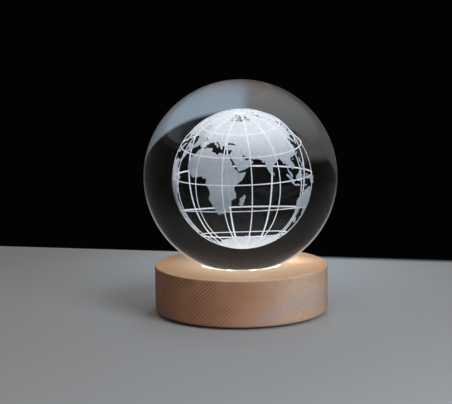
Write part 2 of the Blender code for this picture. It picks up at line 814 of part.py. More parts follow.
def make_switch(parts, cutters, frame):
    """The push switch: body, sprung button with its contact bridge, rear cover and terminals."""
    origin = add_object("switch_frame", None, parts, matrix=frame)
    black = new_material("switch_plastic", (0.02, 0.02, 0.02), 0.4)
    cap = new_material("button_plastic", (0.60, 0.60, 0.58), 0.35)
    brass = new_material("switch_brass", (0.78, 0.60, 0.32), 0.3, metallic=1)
    steel = new_material("spring_steel", (0.60, 0.60, 0.62), 0.25, metallic=1)
    turned(
        "switch_body",
        [
            (BUTTON_RADIUS + SLIDE_GAP, flange_face),
            (SWITCH_FLANGE_RADIUS, flange_face, FLANGE_ROUND),
            (SWITCH_FLANGE_RADIUS, GAP),
            (SWITCH_BARREL_RADIUS, GAP),
            (SWITCH_BARREL_RADIUS, -SWITCH_BARREL_LENGTH),
            (SWITCH_CHAMBER_RADIUS, -SWITCH_BARREL_LENGTH),
            (SWITCH_CHAMBER_RADIUS, GAP),
            (BUTTON_RADIUS + SLIDE_GAP, GAP),
        ],
        BARREL_STEPS,
        parts,
        black,
        origin,
    )
    turned(
        "switch_button",
        [
            (0, flange_face + BUTTON_PROUD),
            (BUTTON_RADIUS, flange_face + BUTTON_PROUD, BUTTON_ROUND),
            (BUTTON_RADIUS, 0),
            (SHOULDER_RADIUS, 0),
            (SHOULDER_RADIUS, shoulder_back),
            (STEM_RADIUS, shoulder_back),
            (STEM_RADIUS, stem_end),
            (RIVET_RADIUS, stem_end),
            (RIVET_RADIUS, stem_end - RIVET_LENGTH),
            (0, stem_end - RIVET_LENGTH),
        ],
        BARREL_STEPS,
        parts,
        cap,
        origin,
    )
    turned(
        "switch_bridge",
        [
            (BRIDGE_RADIUS, bridge_back + BRIDGE_THICKNESS),
            (BRIDGE_RADIUS, bridge_back),
            (RIVET_RADIUS + SLIDE_GAP, bridge_back),
            (RIVET_RADIUS + SLIDE_GAP, bridge_back + BRIDGE_THICKNESS),
        ],
        PIN_STEPS,
        parts,
        brass,
        origin,
    )
    cover = turned(
        "switch_cover",
        [
            (0, cover_front),
            (SWITCH_CHAMBER_RADIUS - SLIDE_GAP, cover_front),
            (SWITCH_CHAMBER_RADIUS - SLIDE_GAP, cover_back + COVER_THICKNESS),
            (SWITCH_BARREL_RADIUS, cover_back + COVER_THICKNESS),
            (SWITCH_BARREL_RADIUS, cover_back),
            (0, cover_back),
        ],
        BARREL_STEPS,
        parts,
        black,
        origin,
    )
    blade_end = cover_back - TERMINAL_TAIL
    slots = []
    for index, side in enumerate((-1, 1)):
        place = (side * TERMINAL_SPREAD, 0, (blade_tip + blade_end) / 2)
        size = (TERMINAL_THICKNESS, TERMINAL_WIDTH, blade_tip - blade_end)
        name = f"switch_terminal_{index + 1}"
        add_object(name, box_mesh(name, size, place), parts, brass, origin)
        room = [side_length + 2 * SLIDE_GAP for side_length in size]
        slot = box_mesh(name + "_slot", room, place)
        slots.append(add_object(name + "_slot", slot, cutters, matrix=frame))
    cut(cover, slots)
    spring_front = shoulder_back - GAP - SPRING_WIRE_RADIUS
    spring_back = cover_front + GAP + SPRING_WIRE_RADIUS
    coil = []
    for step in range(SPRING_TURNS * SPRING_STEPS + 1):
        angle = FULL_TURN * step / SPRING_STEPS
        share = step / (SPRING_TURNS * SPRING_STEPS)
        height = spring_front + (spring_back - spring_front) * share
        coil.append((SPRING_RADIUS * math.cos(angle), SPRING_RADIUS * math.sin(angle), height))
    spring = tube_mesh("switch_spring", coil, SPRING_WIRE_RADIUS, 1)
    add_object("switch_spring", spring, parts, steel, origin)


def pad_place(side):
    """The end of a wire under a solder pad on the board's lower face."""
    azimuth = math.radians(90 + side * REAR_SPREAD_DEGREES)
    return Vector(
        (
            WIRE_PAD_RADIUS * math.cos(azimuth),
            WIRE_PAD_RADIUS * math.sin(azimuth),
            board_bottom - GAP,
        )
    )


def make_wires(parts, jack_frame, switch_frame):
    """Wires from the socket to the switch and the board, and from the switch to the board."""
    red = new_material("red_wire", (0.60, 0.03, 0.02), 0.4)
    black = new_material("black_wire", (0.02, 0.02, 0.02), 0.4)
    jack_end = jack_back - JACK_TAIL - GAP
    switch_end = cover_back - TERMINAL_TAIL - GAP
    pin = jack_frame @ Vector((0, 0, jack_end))
    pin_lead = jack_frame @ Vector((0, 0, jack_end - WIRE_LEAD))
    strip = jack_frame @ Vector((0, -CONTACT_DEPTH, jack_end))
    strip_lead = jack_frame @ Vector((0, -CONTACT_DEPTH, jack_end - WIRE_LEAD))
    near = switch_frame @ Vector((TERMINAL_SPREAD, 0, switch_end))
    near_lead = switch_frame @ Vector((TERMINAL_SPREAD, 0, switch_end - WIRE_LEAD))
    far = switch_frame @ Vector((-TERMINAL_SPREAD, 0, switch_end))
    far_lead = switch_frame @ Vector((-TERMINAL_SPREAD, 0, switch_end - WIRE_LEAD))
    sag = Vector((0, 0, -WIRE_SAG))
    lead = Vector((0, 0, -WIRE_LEAD))
    live_pad = pad_place(-1)
    return_pad = pad_place(1)
    routes = {
        "wire_supply": ([pin, pin_lead, (pin_lead + near_lead) / 2 + sag, near_lead, near], red),
        "wire_switched": ([far, far_lead, live_pad + lead, live_pad], red),
        "wire_return": ([strip, strip_lead, return_pad + lead, return_pad], black),
    }
    for name, (route, material) in routes.items():
        tube = tube_mesh(name, smooth_route(route, WIRE_STEPS), WIRE_RADIUS, 2)
        add_object(name, tube, parts, material)


def main():
    """Build the lamp."""
    clear_scene()
    parts = new_collection("light_up_ball_ornament")
    cutters = new_collection("cutters")
    jack_frame = rear_frame(1)
    switch_frame = rear_frame(-1)
    make_ball(parts)
    make_wood(parts, cutters, jack_frame, switch_frame)
    make_lens(parts)
    make_board(parts, cutters)
    make_leds(parts, cutters)
    make_resistors(parts)
    make_screws(parts, cutters)
    make_plate(parts, cutters)
    make_feet(parts)
    make_jack(parts, cutters, jack_frame)
    make_switch(parts, cutters, switch_frame)
    make_wires(parts, jack_frame, switch_frame)


main()
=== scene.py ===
"""Looks of a solid glass ball with a globe engraved in it, on a turned stand that lights it."""

import math

import bmesh
import bpy
import numpy as np
from mathutils import Matrix, Vector


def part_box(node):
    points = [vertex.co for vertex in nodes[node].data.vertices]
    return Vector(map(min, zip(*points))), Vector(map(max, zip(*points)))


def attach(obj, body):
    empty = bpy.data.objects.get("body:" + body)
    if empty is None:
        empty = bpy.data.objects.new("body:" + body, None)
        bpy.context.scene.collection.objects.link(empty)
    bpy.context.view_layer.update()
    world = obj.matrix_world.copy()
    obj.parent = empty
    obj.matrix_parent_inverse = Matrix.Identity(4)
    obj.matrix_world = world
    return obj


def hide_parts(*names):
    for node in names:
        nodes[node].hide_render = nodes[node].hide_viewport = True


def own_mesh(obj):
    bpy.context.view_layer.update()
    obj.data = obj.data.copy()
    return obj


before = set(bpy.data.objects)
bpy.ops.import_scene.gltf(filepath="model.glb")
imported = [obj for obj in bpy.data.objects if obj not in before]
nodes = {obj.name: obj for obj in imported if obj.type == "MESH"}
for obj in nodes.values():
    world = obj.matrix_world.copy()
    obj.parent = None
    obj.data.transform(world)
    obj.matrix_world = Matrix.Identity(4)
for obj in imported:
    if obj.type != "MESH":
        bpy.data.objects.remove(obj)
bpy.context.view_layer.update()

rng = np.random.default_rng(7)

# Sizes and places, in metres, from the CAD
ball_low, ball_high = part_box("crystal_ball")
BALL_CENTRE = (ball_low + ball_high) / 2
BALL_RADIUS = (ball_high - ball_low).z / 2
wood_low, wood_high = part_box("wood_base")
WOOD_TOP = wood_high.z
WOOD_BOTTOM = wood_low.z
WOOD_RADIUS = wood_high.x
LED_COUNT = 10

# The wood's growth rings, and the ways that its grain and its end grain face
RING_PITCH = 0.00122
RING_WARP = 0.0042
RING_TILT = math.radians(42.6)
GRAIN_TURN = math.radians(16)
END_GRAIN_TURN = math.radians(36)

# Radii of the LED light on the wood: the bright ring at the seat, and the soft halo round it
SEAT_LIGHT_START = 0.0147
SEAT_LIGHT_FULL = 0.0152
SEAT_LIGHT_FADE = 0.0161
SEAT_LIGHT_END = 0.0170
HALO_START = 0.016
HALO_END = 0.034

# The table top: its half width, how far back its edge lies, its slant, and its drop under the feet
FLOOR_REACH = 1.2
FLOOR_EDGE = 0.127
FLOOR_SLANT = 0.2
FLOOR_DROP = 0.0002

# Meshes
BALL_SEGMENTS = 256
MERGE_DISTANCE = 1e-6
SHARP_ANGLE = math.radians(32)
WALL_TOLERANCE = 0.00001

# The engraved globe. A facing is the longitude that faces the front
GLOBE_RADIUS = 0.01888
GLOBE_CENTRE = BALL_CENTRE + Vector((0.00048, 0, -0.00070))
GLOBE_ROLL = math.radians(-1.2)
LINES_FACING = 49.9
LAND_FACING = 47.0
PARALLELS = (-52.4, -26.3, 1.0, 28.3, 54.3)
MERIDIAN_STEP = 30
DOT_SPACING = 0.00017
DOT_SIZE = 0.00030
DOT_SCATTER_DEGREES = 0.10
DOT_SCATTER_DEPTH = 0.00005
DOT_TURNS = 64
LINE_STEP = 0.00012
LINE_ROWS = (-0.00011, 0, 0.00011)
LINE_DOT_SIZE = 0.00019
LINE_RISE = 0.00008
LINE_SCATTER_DEPTH = 0.00002
ISLAND_RISE = 0.0003
LEAST_COSINE = 0.05
GOLDEN_ANGLE = math.pi * (3 - math.sqrt(5))

# Coastlines as (longitude, latitude), drawn
AFRICA = [
    (-6, 35.8), (-2, 35.1), (0, 35.8), (3, 36.9), (7.5, 37), (10, 37.3), (11, 36.8), (10.5, 35),
    (10.1, 33.9), (11.2, 33.2), (13, 32.9), (15.3, 32.3), (17, 31), (19, 30.3), (20.1, 31),
    (20, 32.2), (21.7, 32.9), (23.2, 32.3), (25, 31.6), (29, 30.9), (31, 31.5), (32.4, 31.2),
    (32.6, 29.9), (33.5, 28), (34.2, 26.5), (35.5, 24), (36.9, 22), (37.2, 19.6), (38.5, 18),
    (39.6, 15.6), (41.2, 14.5), (43.1, 12.5), (43.3, 11.5), (44.5, 10.4), (47, 11.1), (49, 11.3),
    (51.2, 11.9), (51, 10.4), (50, 8.5), (49, 6.5), (47.8, 4.3), (46, 2.5), (44, 1.2),
    (42.5, -0.5), (41, -2), (40.1, -2.8), (39.4, -4.7), (38.8, -6.2), (39.5, -7.5), (39.5, -9),
    (40.4, -10.5), (40.7, -13), (40.6, -15.3), (39.5, -16.5), (37, -17.8), (35.2, -19.6),
    (35.5, -22), (35.4, -23.8), (33, -25.3), (32.8, -28), (31.2, -29.8), (29, -32.2),
    (27.5, -33.3), (25.7, -34), (22, -34.1), (20, -34.8), (18.4, -34.2), (18.3, -32.5),
    (17.2, -30.5), (16.5, -28.6), (15, -26.5), (14.5, -23), (13.4, -20.8), (11.8, -18),
    (11.8, -16), (12.5, -14), (13.8, -11.5), (13.3, -9), (12.3, -6.1), (11.8, -4.7), (9.6, -2.4),
    (8.8, -0.8), (9.4, 0.4), (9.8, 2.5), (9.6, 4), (8.5, 4.6), (7, 4.4), (6, 4.3), (5, 5.8),
    (4.3, 6.3), (2.5, 6.3), (1, 5.9), (-2, 4.8), (-4, 5.2), (-7.5, 4.4), (-9.5, 5.6),
    (-11.4, 6.9), (-13.2, 8.5), (-13.7, 9.6), (-15, 11), (-16.7, 12.4), (-16.8, 13.5),
    (-17.5, 14.7), (-16.5, 16), (-16.3, 19), (-17, 21), (-16.3, 23), (-15, 25), (-14.5, 26.2),
    (-13, 27.8), (-11, 28.8), (-9.8, 29.8), (-9.7, 31.5), (-8.5, 33.3), (-6.8, 34),
]
EURASIA = [
    (-5.6, 36), (-6.4, 36.8), (-8.9, 37), (-9.4, 38.8), (-8.8, 41), (-9.2, 43.1), (-8, 43.7),
    (-4, 43.5), (-1.8, 43.4), (-1.2, 44.6), (-1.2, 46), (-2.2, 47.2), (-4.5, 47.9), (-4.7, 48.5),
    (-3, 48.8), (-1.6, 48.7), (-1.6, 49.7), (0.2, 49.5), (1.6, 50.8), (3.5, 51.5), (4.7, 53),
    (7, 53.6), (8.7, 53.9), (8.2, 55.5), (8.2, 57), (10.6, 57.7), (10.3, 56.3), (9.8, 55),
    (10.9, 54.3), (12.5, 54.3), (14.2, 53.9), (16.5, 54.5), (18.6, 54.6), (19.8, 54.4),
    (21, 55.5), (21.2, 57), (22.6, 57.7), (24.3, 57.2), (23.6, 58.8), (27, 59.5), (30, 59.9),
    (28, 60.6), (25, 60.2), (22.5, 59.9), (21.3, 61), (21.4, 62.8), (24.5, 64.8), (25.4, 65.3),
    (24, 65.8), (22, 65.4), (21, 64.2), (18.5, 62.8), (17.2, 61), (18.8, 60), (17.5, 58.8),
    (16.6, 57.5), (16, 56.2), (14.3, 55.5), (12.9, 55.5), (12.5, 56.6), (11.4, 58.5),
    (10.6, 59.3), (8.5, 58.2), (6.6, 58.1), (5.3, 59.5), (5, 61.5), (7, 62.9), (10, 63.8),
    (12.5, 66), (14.8, 67.8), (17.5, 69), (20.5, 70), (25.7, 71), (29, 70.8), (31, 70.3),
    (33, 69.3), (38, 68.3), (41.1, 67), (40, 66.2), (35, 66.5), (32.8, 67), (34.8, 64.5),
    (37, 64), (38, 64.8), (40.3, 64.7), (40, 66), (42.5, 66.4), (44.2, 66), (44, 68.4),
    (46.5, 67.8), (49, 67.8), (53, 68.5), (58, 68.9), (60.5, 69.8), (64.5, 69.3), (68, 68.3),
    (67, 70.5), (67.2, 72), (69.5, 73), (72.8, 72.7), (72.5, 71), (72.3, 68.5), (73.5, 67.5),
    (74.2, 69), (74, 71.5), (78, 72.4), (81, 72), (80.7, 73.5), (86, 74.2), (87, 75.2),
    (94, 76), (100, 76.4), (104.3, 77.7), (109, 76.8), (113.5, 75.8), (110, 74.2), (106, 73.2),
    (113, 73.7), (119, 73), (123.5, 73.3), (127, 73.4), (129.5, 71.5), (131, 71), (135, 71.6),
    (139.5, 72.3), (145, 72.3), (150, 71.6), (152.8, 70.9), (159.5, 70.4), (161, 69.5),
    (168, 69.7), (170.5, 69), (176, 69.8), (180.5, 68.9), (190.2, 66.1), (187.5, 64.5),
    (181, 65.3), (179, 64.6), (179.5, 62.4), (174.5, 61.8), (170.3, 59.9), (166, 60.2),
    (163.2, 59.5), (162.9, 58), (163.3, 56.2), (161.8, 55), (159.9, 53), (158.5, 52.5),
    (156.7, 51), (155.6, 54), (155.6, 57), (158, 58.5), (161.8, 60.5), (164, 62.4), (160, 61.7),
    (157, 61.6), (154.5, 59.5), (149, 59.5), (142.5, 59.3), (138, 56.5), (135.3, 54.7),
    (138.5, 54), (141, 53), (140.5, 51), (140.3, 48.5), (138, 46.3), (135.5, 44.2),
    (132.3, 43.2), (130.6, 42.4), (129.7, 41), (127.5, 39.8), (127.6, 39.2), (129.4, 37),
    (129.3, 35.3), (126.5, 34.4), (126.4, 36.5), (126.8, 37.6), (125, 37.8), (125.2, 39.5),
    (122, 39), (121.2, 38.8), (121.8, 40.8), (118.5, 39.1), (117.7, 38.7), (119, 37.3),
    (122.5, 37.2), (119.3, 35), (120.9, 33), (121.9, 31.5), (121.8, 29.8), (121.5, 28.3),
    (119.6, 25.9), (117.5, 23.9), (114.3, 22.4), (111.5, 21.6), (110.2, 20.4), (109.7, 21.5),
    (107.8, 21.5), (106.2, 20), (105.8, 18.8), (107.5, 16.5), (109, 14.5), (109.3, 12),
    (107.2, 10.4), (105, 8.7), (104.9, 10.2), (102.8, 11.8), (101, 12.8), (100.5, 13.5),
    (99.9, 12), (99.3, 10), (100.3, 8.3), (101.8, 6.7), (103.4, 4.5), (104.2, 1.4), (103.4, 1.4),
    (101.3, 3), (100.3, 5.5), (98.7, 8), (98.6, 10.5), (98.6, 13), (97.7, 16.4), (96.2, 16.5),
    (94.5, 16), (94.3, 18.5), (92.8, 20.4), (91.8, 22.4), (90, 22), (88.2, 21.7), (87, 21.4),
    (86.4, 19.9), (84, 18.2), (82.3, 16.6), (80.3, 15.5), (80.2, 13.2), (79.9, 11), (79.2, 9.5),
    (78.2, 8.9), (77.5, 8.1), (76.3, 9.9), (75, 12), (74, 14.8), (73, 17.5), (72.8, 19.5),
    (72.8, 21.5), (72.3, 22.3), (72, 21.2), (70.8, 20.8), (69, 22.2), (70.3, 22.9), (68.2, 23.7),
    (66.8, 24.8), (64.5, 25.3), (61.5, 25.1), (58.8, 25.5), (57.2, 26.8), (56.5, 27.1),
    (54, 26.6), (51.5, 27.9), (50.2, 30), (48.7, 30.2), (48, 29.5), (49.2, 27.5), (50.2, 26.6),
    (50.2, 25.6), (50.8, 24.8), (51.2, 26), (51.5, 24.8), (51.6, 24.2), (54, 24.2), (56.2, 26.3),
    (56.4, 24.8), (58.6, 23.6), (59.8, 22.5), (58.5, 20.4), (57.7, 19), (56.3, 17.9), (55, 17),
    (52.2, 15.6), (49, 14.2), (45, 12.8), (43.4, 12.7), (42.8, 15), (42.5, 16.8), (40.8, 19.6),
    (39.1, 21.5), (38.2, 24), (36.9, 25.8), (35, 28.1), (34.9, 29.5), (34.3, 27.8), (33, 29),
    (32.6, 29.9), (32.6, 31.1), (34.3, 31.3), (35, 32.8), (35.9, 35.5), (36.1, 36.7),
    (34.5, 36.7), (33, 36.1), (30.6, 36.8), (29, 36.4), (27.4, 37), (26.3, 38.5), (26.2, 40),
    (29, 40.4), (29.1, 41.2), (26.2, 40.8), (24, 40.8), (23, 40.3), (23.4, 39), (24, 37.8),
    (22.9, 36.6), (21.7, 36.9), (21.1, 38.3), (19.4, 40.3), (19.4, 41.8), (17.5, 43),
    (15.2, 44.2), (14, 45), (13.7, 45.7), (12.3, 45.3), (12.4, 44.2), (13.6, 43.5), (14.2, 42.4),
    (16.1, 41.9), (18.5, 40.1), (16.9, 40.5), (17.1, 39), (16, 37.9), (15.8, 40), (14.2, 40.8),
    (12.3, 41.7), (10.5, 42.9), (10.2, 44), (8.8, 44.4), (7.4, 43.7), (5, 43.3), (3.1, 43.2),
    (3.2, 41.9), (0.8, 40.9), (-0.3, 39.5), (0.2, 38.7), (-0.8, 37.6), (-2.2, 36.7),
    (-4.4, 36.7),
]
NORTH_AMERICA = [
    (-168, 65.6), (-166.5, 68.3), (-163, 69.3), (-156.5, 71.3), (-145, 70), (-135, 69.2),
    (-128, 70.2), (-120, 69.5), (-115, 68.2), (-108, 68), (-98, 67.8), (-94.5, 69.5),
    (-94, 71.8), (-90, 69.5), (-85, 69.5), (-82, 67.5), (-86.5, 66.5), (-88, 64), (-93.5, 62),
    (-94.7, 59), (-92.5, 57), (-85, 55.3), (-82.3, 53), (-80, 51.3), (-79, 54), (-77, 56.5),
    (-78, 59), (-77.5, 62.3), (-70, 61), (-66, 58.7), (-64.5, 60.3), (-62, 57.5), (-57.5, 54.5),
    (-56, 52.5), (-60, 50.2), (-66, 50), (-70.5, 47), (-65, 49), (-64.5, 47), (-61, 45.5),
    (-64, 44.3), (-66, 43.5), (-65.5, 45), (-70, 43.7), (-70.5, 42), (-74, 40.6), (-75.5, 37.5),
    (-76, 35), (-78.5, 33.8), (-81.3, 31.5), (-80.3, 27), (-80.4, 25.2), (-81.8, 26),
    (-82.8, 28.5), (-84.5, 30), (-89.5, 30.2), (-89.5, 29.2), (-94.5, 29.4), (-97.3, 27.5),
    (-97.8, 22.5), (-96, 19.2), (-94.3, 18.2), (-91.5, 18.6), (-90.4, 21), (-87, 21.5),
    (-88, 18.3), (-88.8, 15.8), (-83.4, 15), (-83.7, 11), (-81.5, 8.9), (-79.6, 9.5),
    (-77.4, 8.6), (-77.9, 7.5), (-80.4, 7.4), (-83, 8.3), (-85.8, 10.3), (-87.6, 13),
    (-92.3, 14.5), (-95, 16), (-99.8, 16.8), (-105.5, 20.3), (-105.8, 22.6), (-109.4, 25.8),
    (-112.8, 30.2), (-114.7, 31.7), (-111.3, 26), (-109.5, 23.1), (-112.2, 25), (-115, 28),
    (-116, 30.5), (-117.3, 32.8), (-120.6, 34.6), (-122.5, 37.5), (-124.3, 40.3), (-124, 44),
    (-124.6, 48.3), (-122.8, 49), (-127.5, 51), (-130.3, 54.5), (-133.5, 57.5), (-139.5, 59.7),
    (-146, 60.8), (-151.5, 59.3), (-154, 58.8), (-158.5, 56), (-164.5, 54.6), (-160.5, 56),
    (-157.5, 58.7), (-162, 58.7), (-165.5, 61.5), (-161, 64.4), (-166, 64.5),
]
SOUTH_AMERICA = [
    (-77.4, 8.6), (-75.5, 10.7), (-71.7, 12.2), (-71.5, 10.8), (-68, 11.5), (-62, 10.6),
    (-60, 8.5), (-57, 6), (-51.5, 4.3), (-50, 1.5), (-48.5, -0.8), (-44.3, -2.6), (-39.5, -3),
    (-35.3, -5.3), (-34.8, -8), (-37, -11), (-39, -13.5), (-39, -17.5), (-40.8, -21.5),
    (-42, -23), (-45, -23.7), (-48.5, -26), (-49, -28.7), (-52.2, -32.3), (-54, -34.8),
    (-57.8, -34.3), (-57, -36.5), (-58, -38.3), (-62.3, -39), (-65, -41), (-63.8, -42.8),
    (-65.5, -45), (-67.5, -46.3), (-65.8, -47.8), (-69, -51), (-68.3, -53), (-65.2, -54.7),
    (-70, -55), (-74, -52), (-75.5, -48), (-73, -43.5), (-73.8, -40), (-73.3, -37), (-71.5, -33),
    (-71.4, -29), (-70.2, -22), (-70.3, -18.3), (-76, -14), (-79, -8.5), (-81.2, -5.5),
    (-80.3, -3.4), (-81, -2), (-80, 0.8), (-77.5, 3.5),
]
AUSTRALIA = [
    (114, -22), (113.5, -24.5), (114.2, -27.3), (115.7, -31.6), (115.2, -34.2), (118, -35),
    (120, -33.9), (123.8, -33.9), (126, -32.3), (131, -31.5), (134.3, -32.8), (135.7, -34.8),
    (137.8, -33), (136.9, -35.2), (138.2, -34.7), (139.5, -36), (140.6, -38), (143.5, -38.8),
    (145, -38), (146.3, -39), (149.9, -37.5), (150.8, -34.8), (152.5, -32.3), (153.6, -28.7),
    (153, -25.3), (150.9, -23.4), (149, -20.6), (146.3, -19), (146, -17), (145.3, -15),
    (143.6, -14.2), (142.5, -10.8), (141.7, -13), (141.5, -15.5), (140.8, -17.5), (139, -17),
    (135.5, -15), (135.9, -13.3), (136.8, -12.2), (133, -11.6), (130.8, -12.4), (129.5, -15),
    (127.8, -14), (126, -13.9), (124, -16), (122.2, -18), (120.5, -19.8), (117, -20.7),
]
ANTARCTICA = [
    (-180, -78), (-165, -78.5), (-150, -77.3), (-140, -75.2), (-120, -74), (-100, -73),
    (-85, -73.3), (-75, -73.5), (-68, -72), (-67.5, -68), (-62, -65), (-57.5, -63.3),
    (-60.5, -66), (-62, -70), (-61, -75), (-50, -78), (-35, -78.3), (-25, -75.8), (-15, -72.5),
    (0, -70.5), (15, -69.8), (30, -69.3), (40, -69), (50, -67), (57, -66.5), (70, -68.5),
    (73, -69.8), (80, -68), (90, -66.7), (110, -66.2), (130, -66.1), (145, -67), (160, -69.5),
    (170, -71.5), (167, -75), (164, -78), (180, -78.3), (180, -90), (-180, -90),
]
ISLANDS = [
    [
        (49.3, -12), (50.4, -15.5), (49.7, -16), (49.2, -18.5), (48, -22), (47, -25),
        (45.2, -25.6), (43.7, -23.6), (43.3, -22), (44.4, -20), (44.2, -17.5), (44.5, -16.2),
        (46.3, -15.7), (48, -13.8),
    ],
    [
        (-5.7, 50.1), (-3.5, 50.3), (1.4, 51.2), (1.7, 52.6), (0.3, 53), (-0.2, 54.3),
        (-1.6, 55.4), (-3, 56), (-2, 57.6), (-4, 57.7), (-3.2, 58.6), (-5, 58.6), (-5.8, 57.3),
        (-5.6, 55.6), (-4.9, 54.8), (-3.2, 54.9), (-3, 53.5), (-4.5, 53.3), (-4.2, 52.3),
        (-5.2, 51.8), (-3.2, 51.4),
    ],
    [(-6.3, 52.2), (-9.8, 51.6), (-9.3, 53), (-10, 54.2), (-7.3, 55.3), (-5.7, 54.6)],
    [
        (-22.7, 63.9), (-18.7, 63.4), (-14.9, 64.3), (-13.7, 65), (-14.8, 66.2), (-18, 66.1),
        (-21, 66), (-23.8, 66.3), (-24.2, 65.6), (-22, 65.2), (-24, 64.9),
    ],
    [(11, 79.6), (16, 76.7), (18, 77.5), (21.5, 78.3), (27, 80), (20, 80.4)],
    [(52, 71), (57.5, 70.6), (56, 73), (60, 75.5), (68.5, 76.6), (66, 77), (58, 76), (54, 73.5)],
    [(96, 79), (100, 81), (105, 78.7), (99, 78)],
    [(137.5, 75.5), (146, 75.6), (143, 73.3), (139.8, 73.5)],
    [(79.9, 9.7), (81.2, 8.5), (81.8, 7), (80.6, 6), (79.9, 6.9)],
    [
        (95.3, 5.5), (97.5, 5.2), (100.5, 2.3), (103.3, 0.5), (105.8, -2.5), (105.8, -5.8),
        (104.5, -5.9), (102.3, -4), (100.4, -1), (98.7, 1.7), (96, 4),
    ],
    [
        (105.2, -6.8), (106.2, -6), (108.5, -6.7), (110.8, -6.4), (112.7, -7), (114.5, -7.8),
        (114.4, -8.7), (110.5, -8.1), (106.5, -7.4),
    ],
    [
        (109, 1.8), (111.3, 2.7), (113, 3.2), (115.3, 5.5), (116.8, 7), (119.2, 5.2), (117.7, 4),
        (118.9, 1), (117.5, 0.7), (116.5, -1.5), (116.2, -3.9), (114.6, -4.1), (111.7, -3.3),
        (110, -1.5), (109, 0.3),
    ],
    [
        (119.5, -5.5), (120.4, -5.5), (120.5, -3), (122.5, -4.8), (122.2, -3.3), (121.4, -1.9),
        (123.3, -0.9), (120.2, -1), (120.1, 0.3), (124.8, 0.4), (125.1, 1.6), (120.8, 1.3),
        (119.8, 0), (118.9, -2.8),
    ],
    [(115.2, -8.2), (119, -8.3), (123, -8.1), (122.8, -8.9), (119, -9), (116, -9)],
    [(123.6, -10.3), (127.2, -8.6), (125.2, -8.6), (123.5, -9.7)],
    [(127.5, 1.8), (128.6, 1.5), (128.4, -0.8), (127.6, -0.5)],
    [(128, -2.9), (130.8, -3), (130.4, -3.8), (128.2, -3.6)],
    [
        (131, -0.8), (134, -0.9), (134.5, -2.8), (135.2, -3.3), (138, -1.7), (141, -2.6),
        (144.5, -3.9), (145.8, -5.4), (147.8, -6.3), (147, -7), (149, -9.3), (150.8, -10.4),
        (147.5, -10), (145.5, -8), (143.3, -8.6), (143, -9.3), (141, -9.1), (138.5, -8.3),
        (138.5, -6.8), (136.5, -4.7), (133, -4), (132.8, -2.9), (134, -2.4), (132, -1.6),
    ],
    [(148.4, -5.7), (151.5, -4.2), (152.2, -4.3), (150.5, -6.2)],
    [
        (120.6, 18.5), (122.2, 18.5), (121.6, 16), (121.7, 14.2), (124, 12.7), (123.3, 13),
        (120.7, 13.8), (120.2, 15.8),
    ],
    [(122, 11.8), (125.2, 12.5), (125.7, 11), (124.8, 10), (123, 9.1), (122.2, 10.6)],
    [(123.5, 8.6), (125.5, 9.8), (126.5, 7.5), (125.5, 5.8), (124, 6.6), (122, 7)],
    [(117.3, 8.4), (119.5, 11.3), (119.3, 10.3), (117.8, 8.2)],
    [(121.5, 25.3), (121.9, 24.8), (120.9, 22), (120.1, 23)],
    [(108.7, 19.3), (110.5, 20.1), (110.9, 19.5), (109.5, 18.2)],
    [
        (130.9, 34), (132.5, 35.4), (136, 35.8), (136.8, 37.3), (139, 38), (140, 40),
        (140.3, 41.2), (141.4, 41.3), (142, 39.5), (141, 38), (140.8, 35.8), (139.8, 35),
        (138.2, 34.6), (136.8, 34.3), (135.8, 33.5), (135.2, 34.6), (133, 34.3),
    ],
    [
        (129.8, 33.3), (131, 33.8), (132, 33.3), (134.5, 34.2), (134.2, 33.3), (133, 32.8),
        (131.9, 32.8), (131.2, 31.2), (130.2, 31.3),
    ],
    [
        (140, 41.5), (140.5, 43.3), (141.8, 45.4), (143, 44.4), (145.3, 44.1), (145.5, 43.2),
        (143.3, 42), (141, 42.5),
    ],
    [
        (142, 46), (142.5, 47.5), (142.1, 50), (142, 52.5), (142.7, 54.3), (143.3, 52.5),
        (143.7, 49.5), (143, 49), (142.9, 47), (143.4, 46.3),
    ],
    [(144.7, -40.7), (148.3, -40.9), (148, -43), (146.5, -43.6), (145.3, -42.2)],
    [
        (172.8, -34.5), (174.8, -36.5), (178.4, -37.7), (177, -39.5), (175.3, -41.6),
        (174.8, -41.2), (175, -39.9), (173.9, -39.3), (174.7, -38),
    ],
    [
        (172.8, -40.6), (174.2, -41.7), (172.8, -43.7), (171, -45.5), (169, -46.6), (166.6, -46),
        (168.5, -44), (171.2, -42.5),
    ],
    [
        (-73, 78.3), (-65, 80.8), (-45, 82.8), (-30, 83.5), (-20, 82), (-18, 79), (-19.5, 75),
        (-22, 72), (-24, 70), (-32, 68), (-40, 65.2), (-43.5, 60), (-48.5, 61), (-52, 64.5),
        (-53.5, 67), (-51, 69.5), (-55, 72), (-59, 75.5), (-68, 76),
    ],
    [
        (-62, 66.5), (-68, 70.5), (-78, 73), (-88, 73.5), (-85, 70), (-78, 69.8), (-73, 67.5),
        (-72, 65), (-78, 64.5), (-70, 62.5), (-65, 62), (-68, 63.7),
    ],
    [
        (-117, 70), (-105, 69.2), (-101.5, 70), (-105, 72.8), (-118, 73), (-125, 74.2),
        (-123.5, 71.5),
    ],
    [(-80, 76.3), (-90, 76.5), (-90, 80.5), (-70, 83), (-62, 82.3), (-72, 79.5)],
    [(-59.3, 47.6), (-53, 46.8), (-53, 48.6), (-55.5, 51.5), (-57.5, 50.5)],
    [(-84.8, 22), (-82, 23.1), (-77.5, 21.8), (-74.2, 20.2), (-77.5, 19.9), (-82, 22.4)],
    [(-74.4, 18.4), (-73.2, 19.9), (-69.8, 19.7), (-68.4, 18.5), (-71, 18)],
]
INLAND_SEAS = [
    [
        (29, 42), (28.8, 43), (30, 44.5), (32, 45.2), (32.8, 44.6), (34, 44.2), (36, 44.6),
        (38, 43.8), (40.6, 42.6), (40.7, 41.9), (38, 41.7), (35, 42.6), (32, 42.3), (30, 41.9),
    ],
]


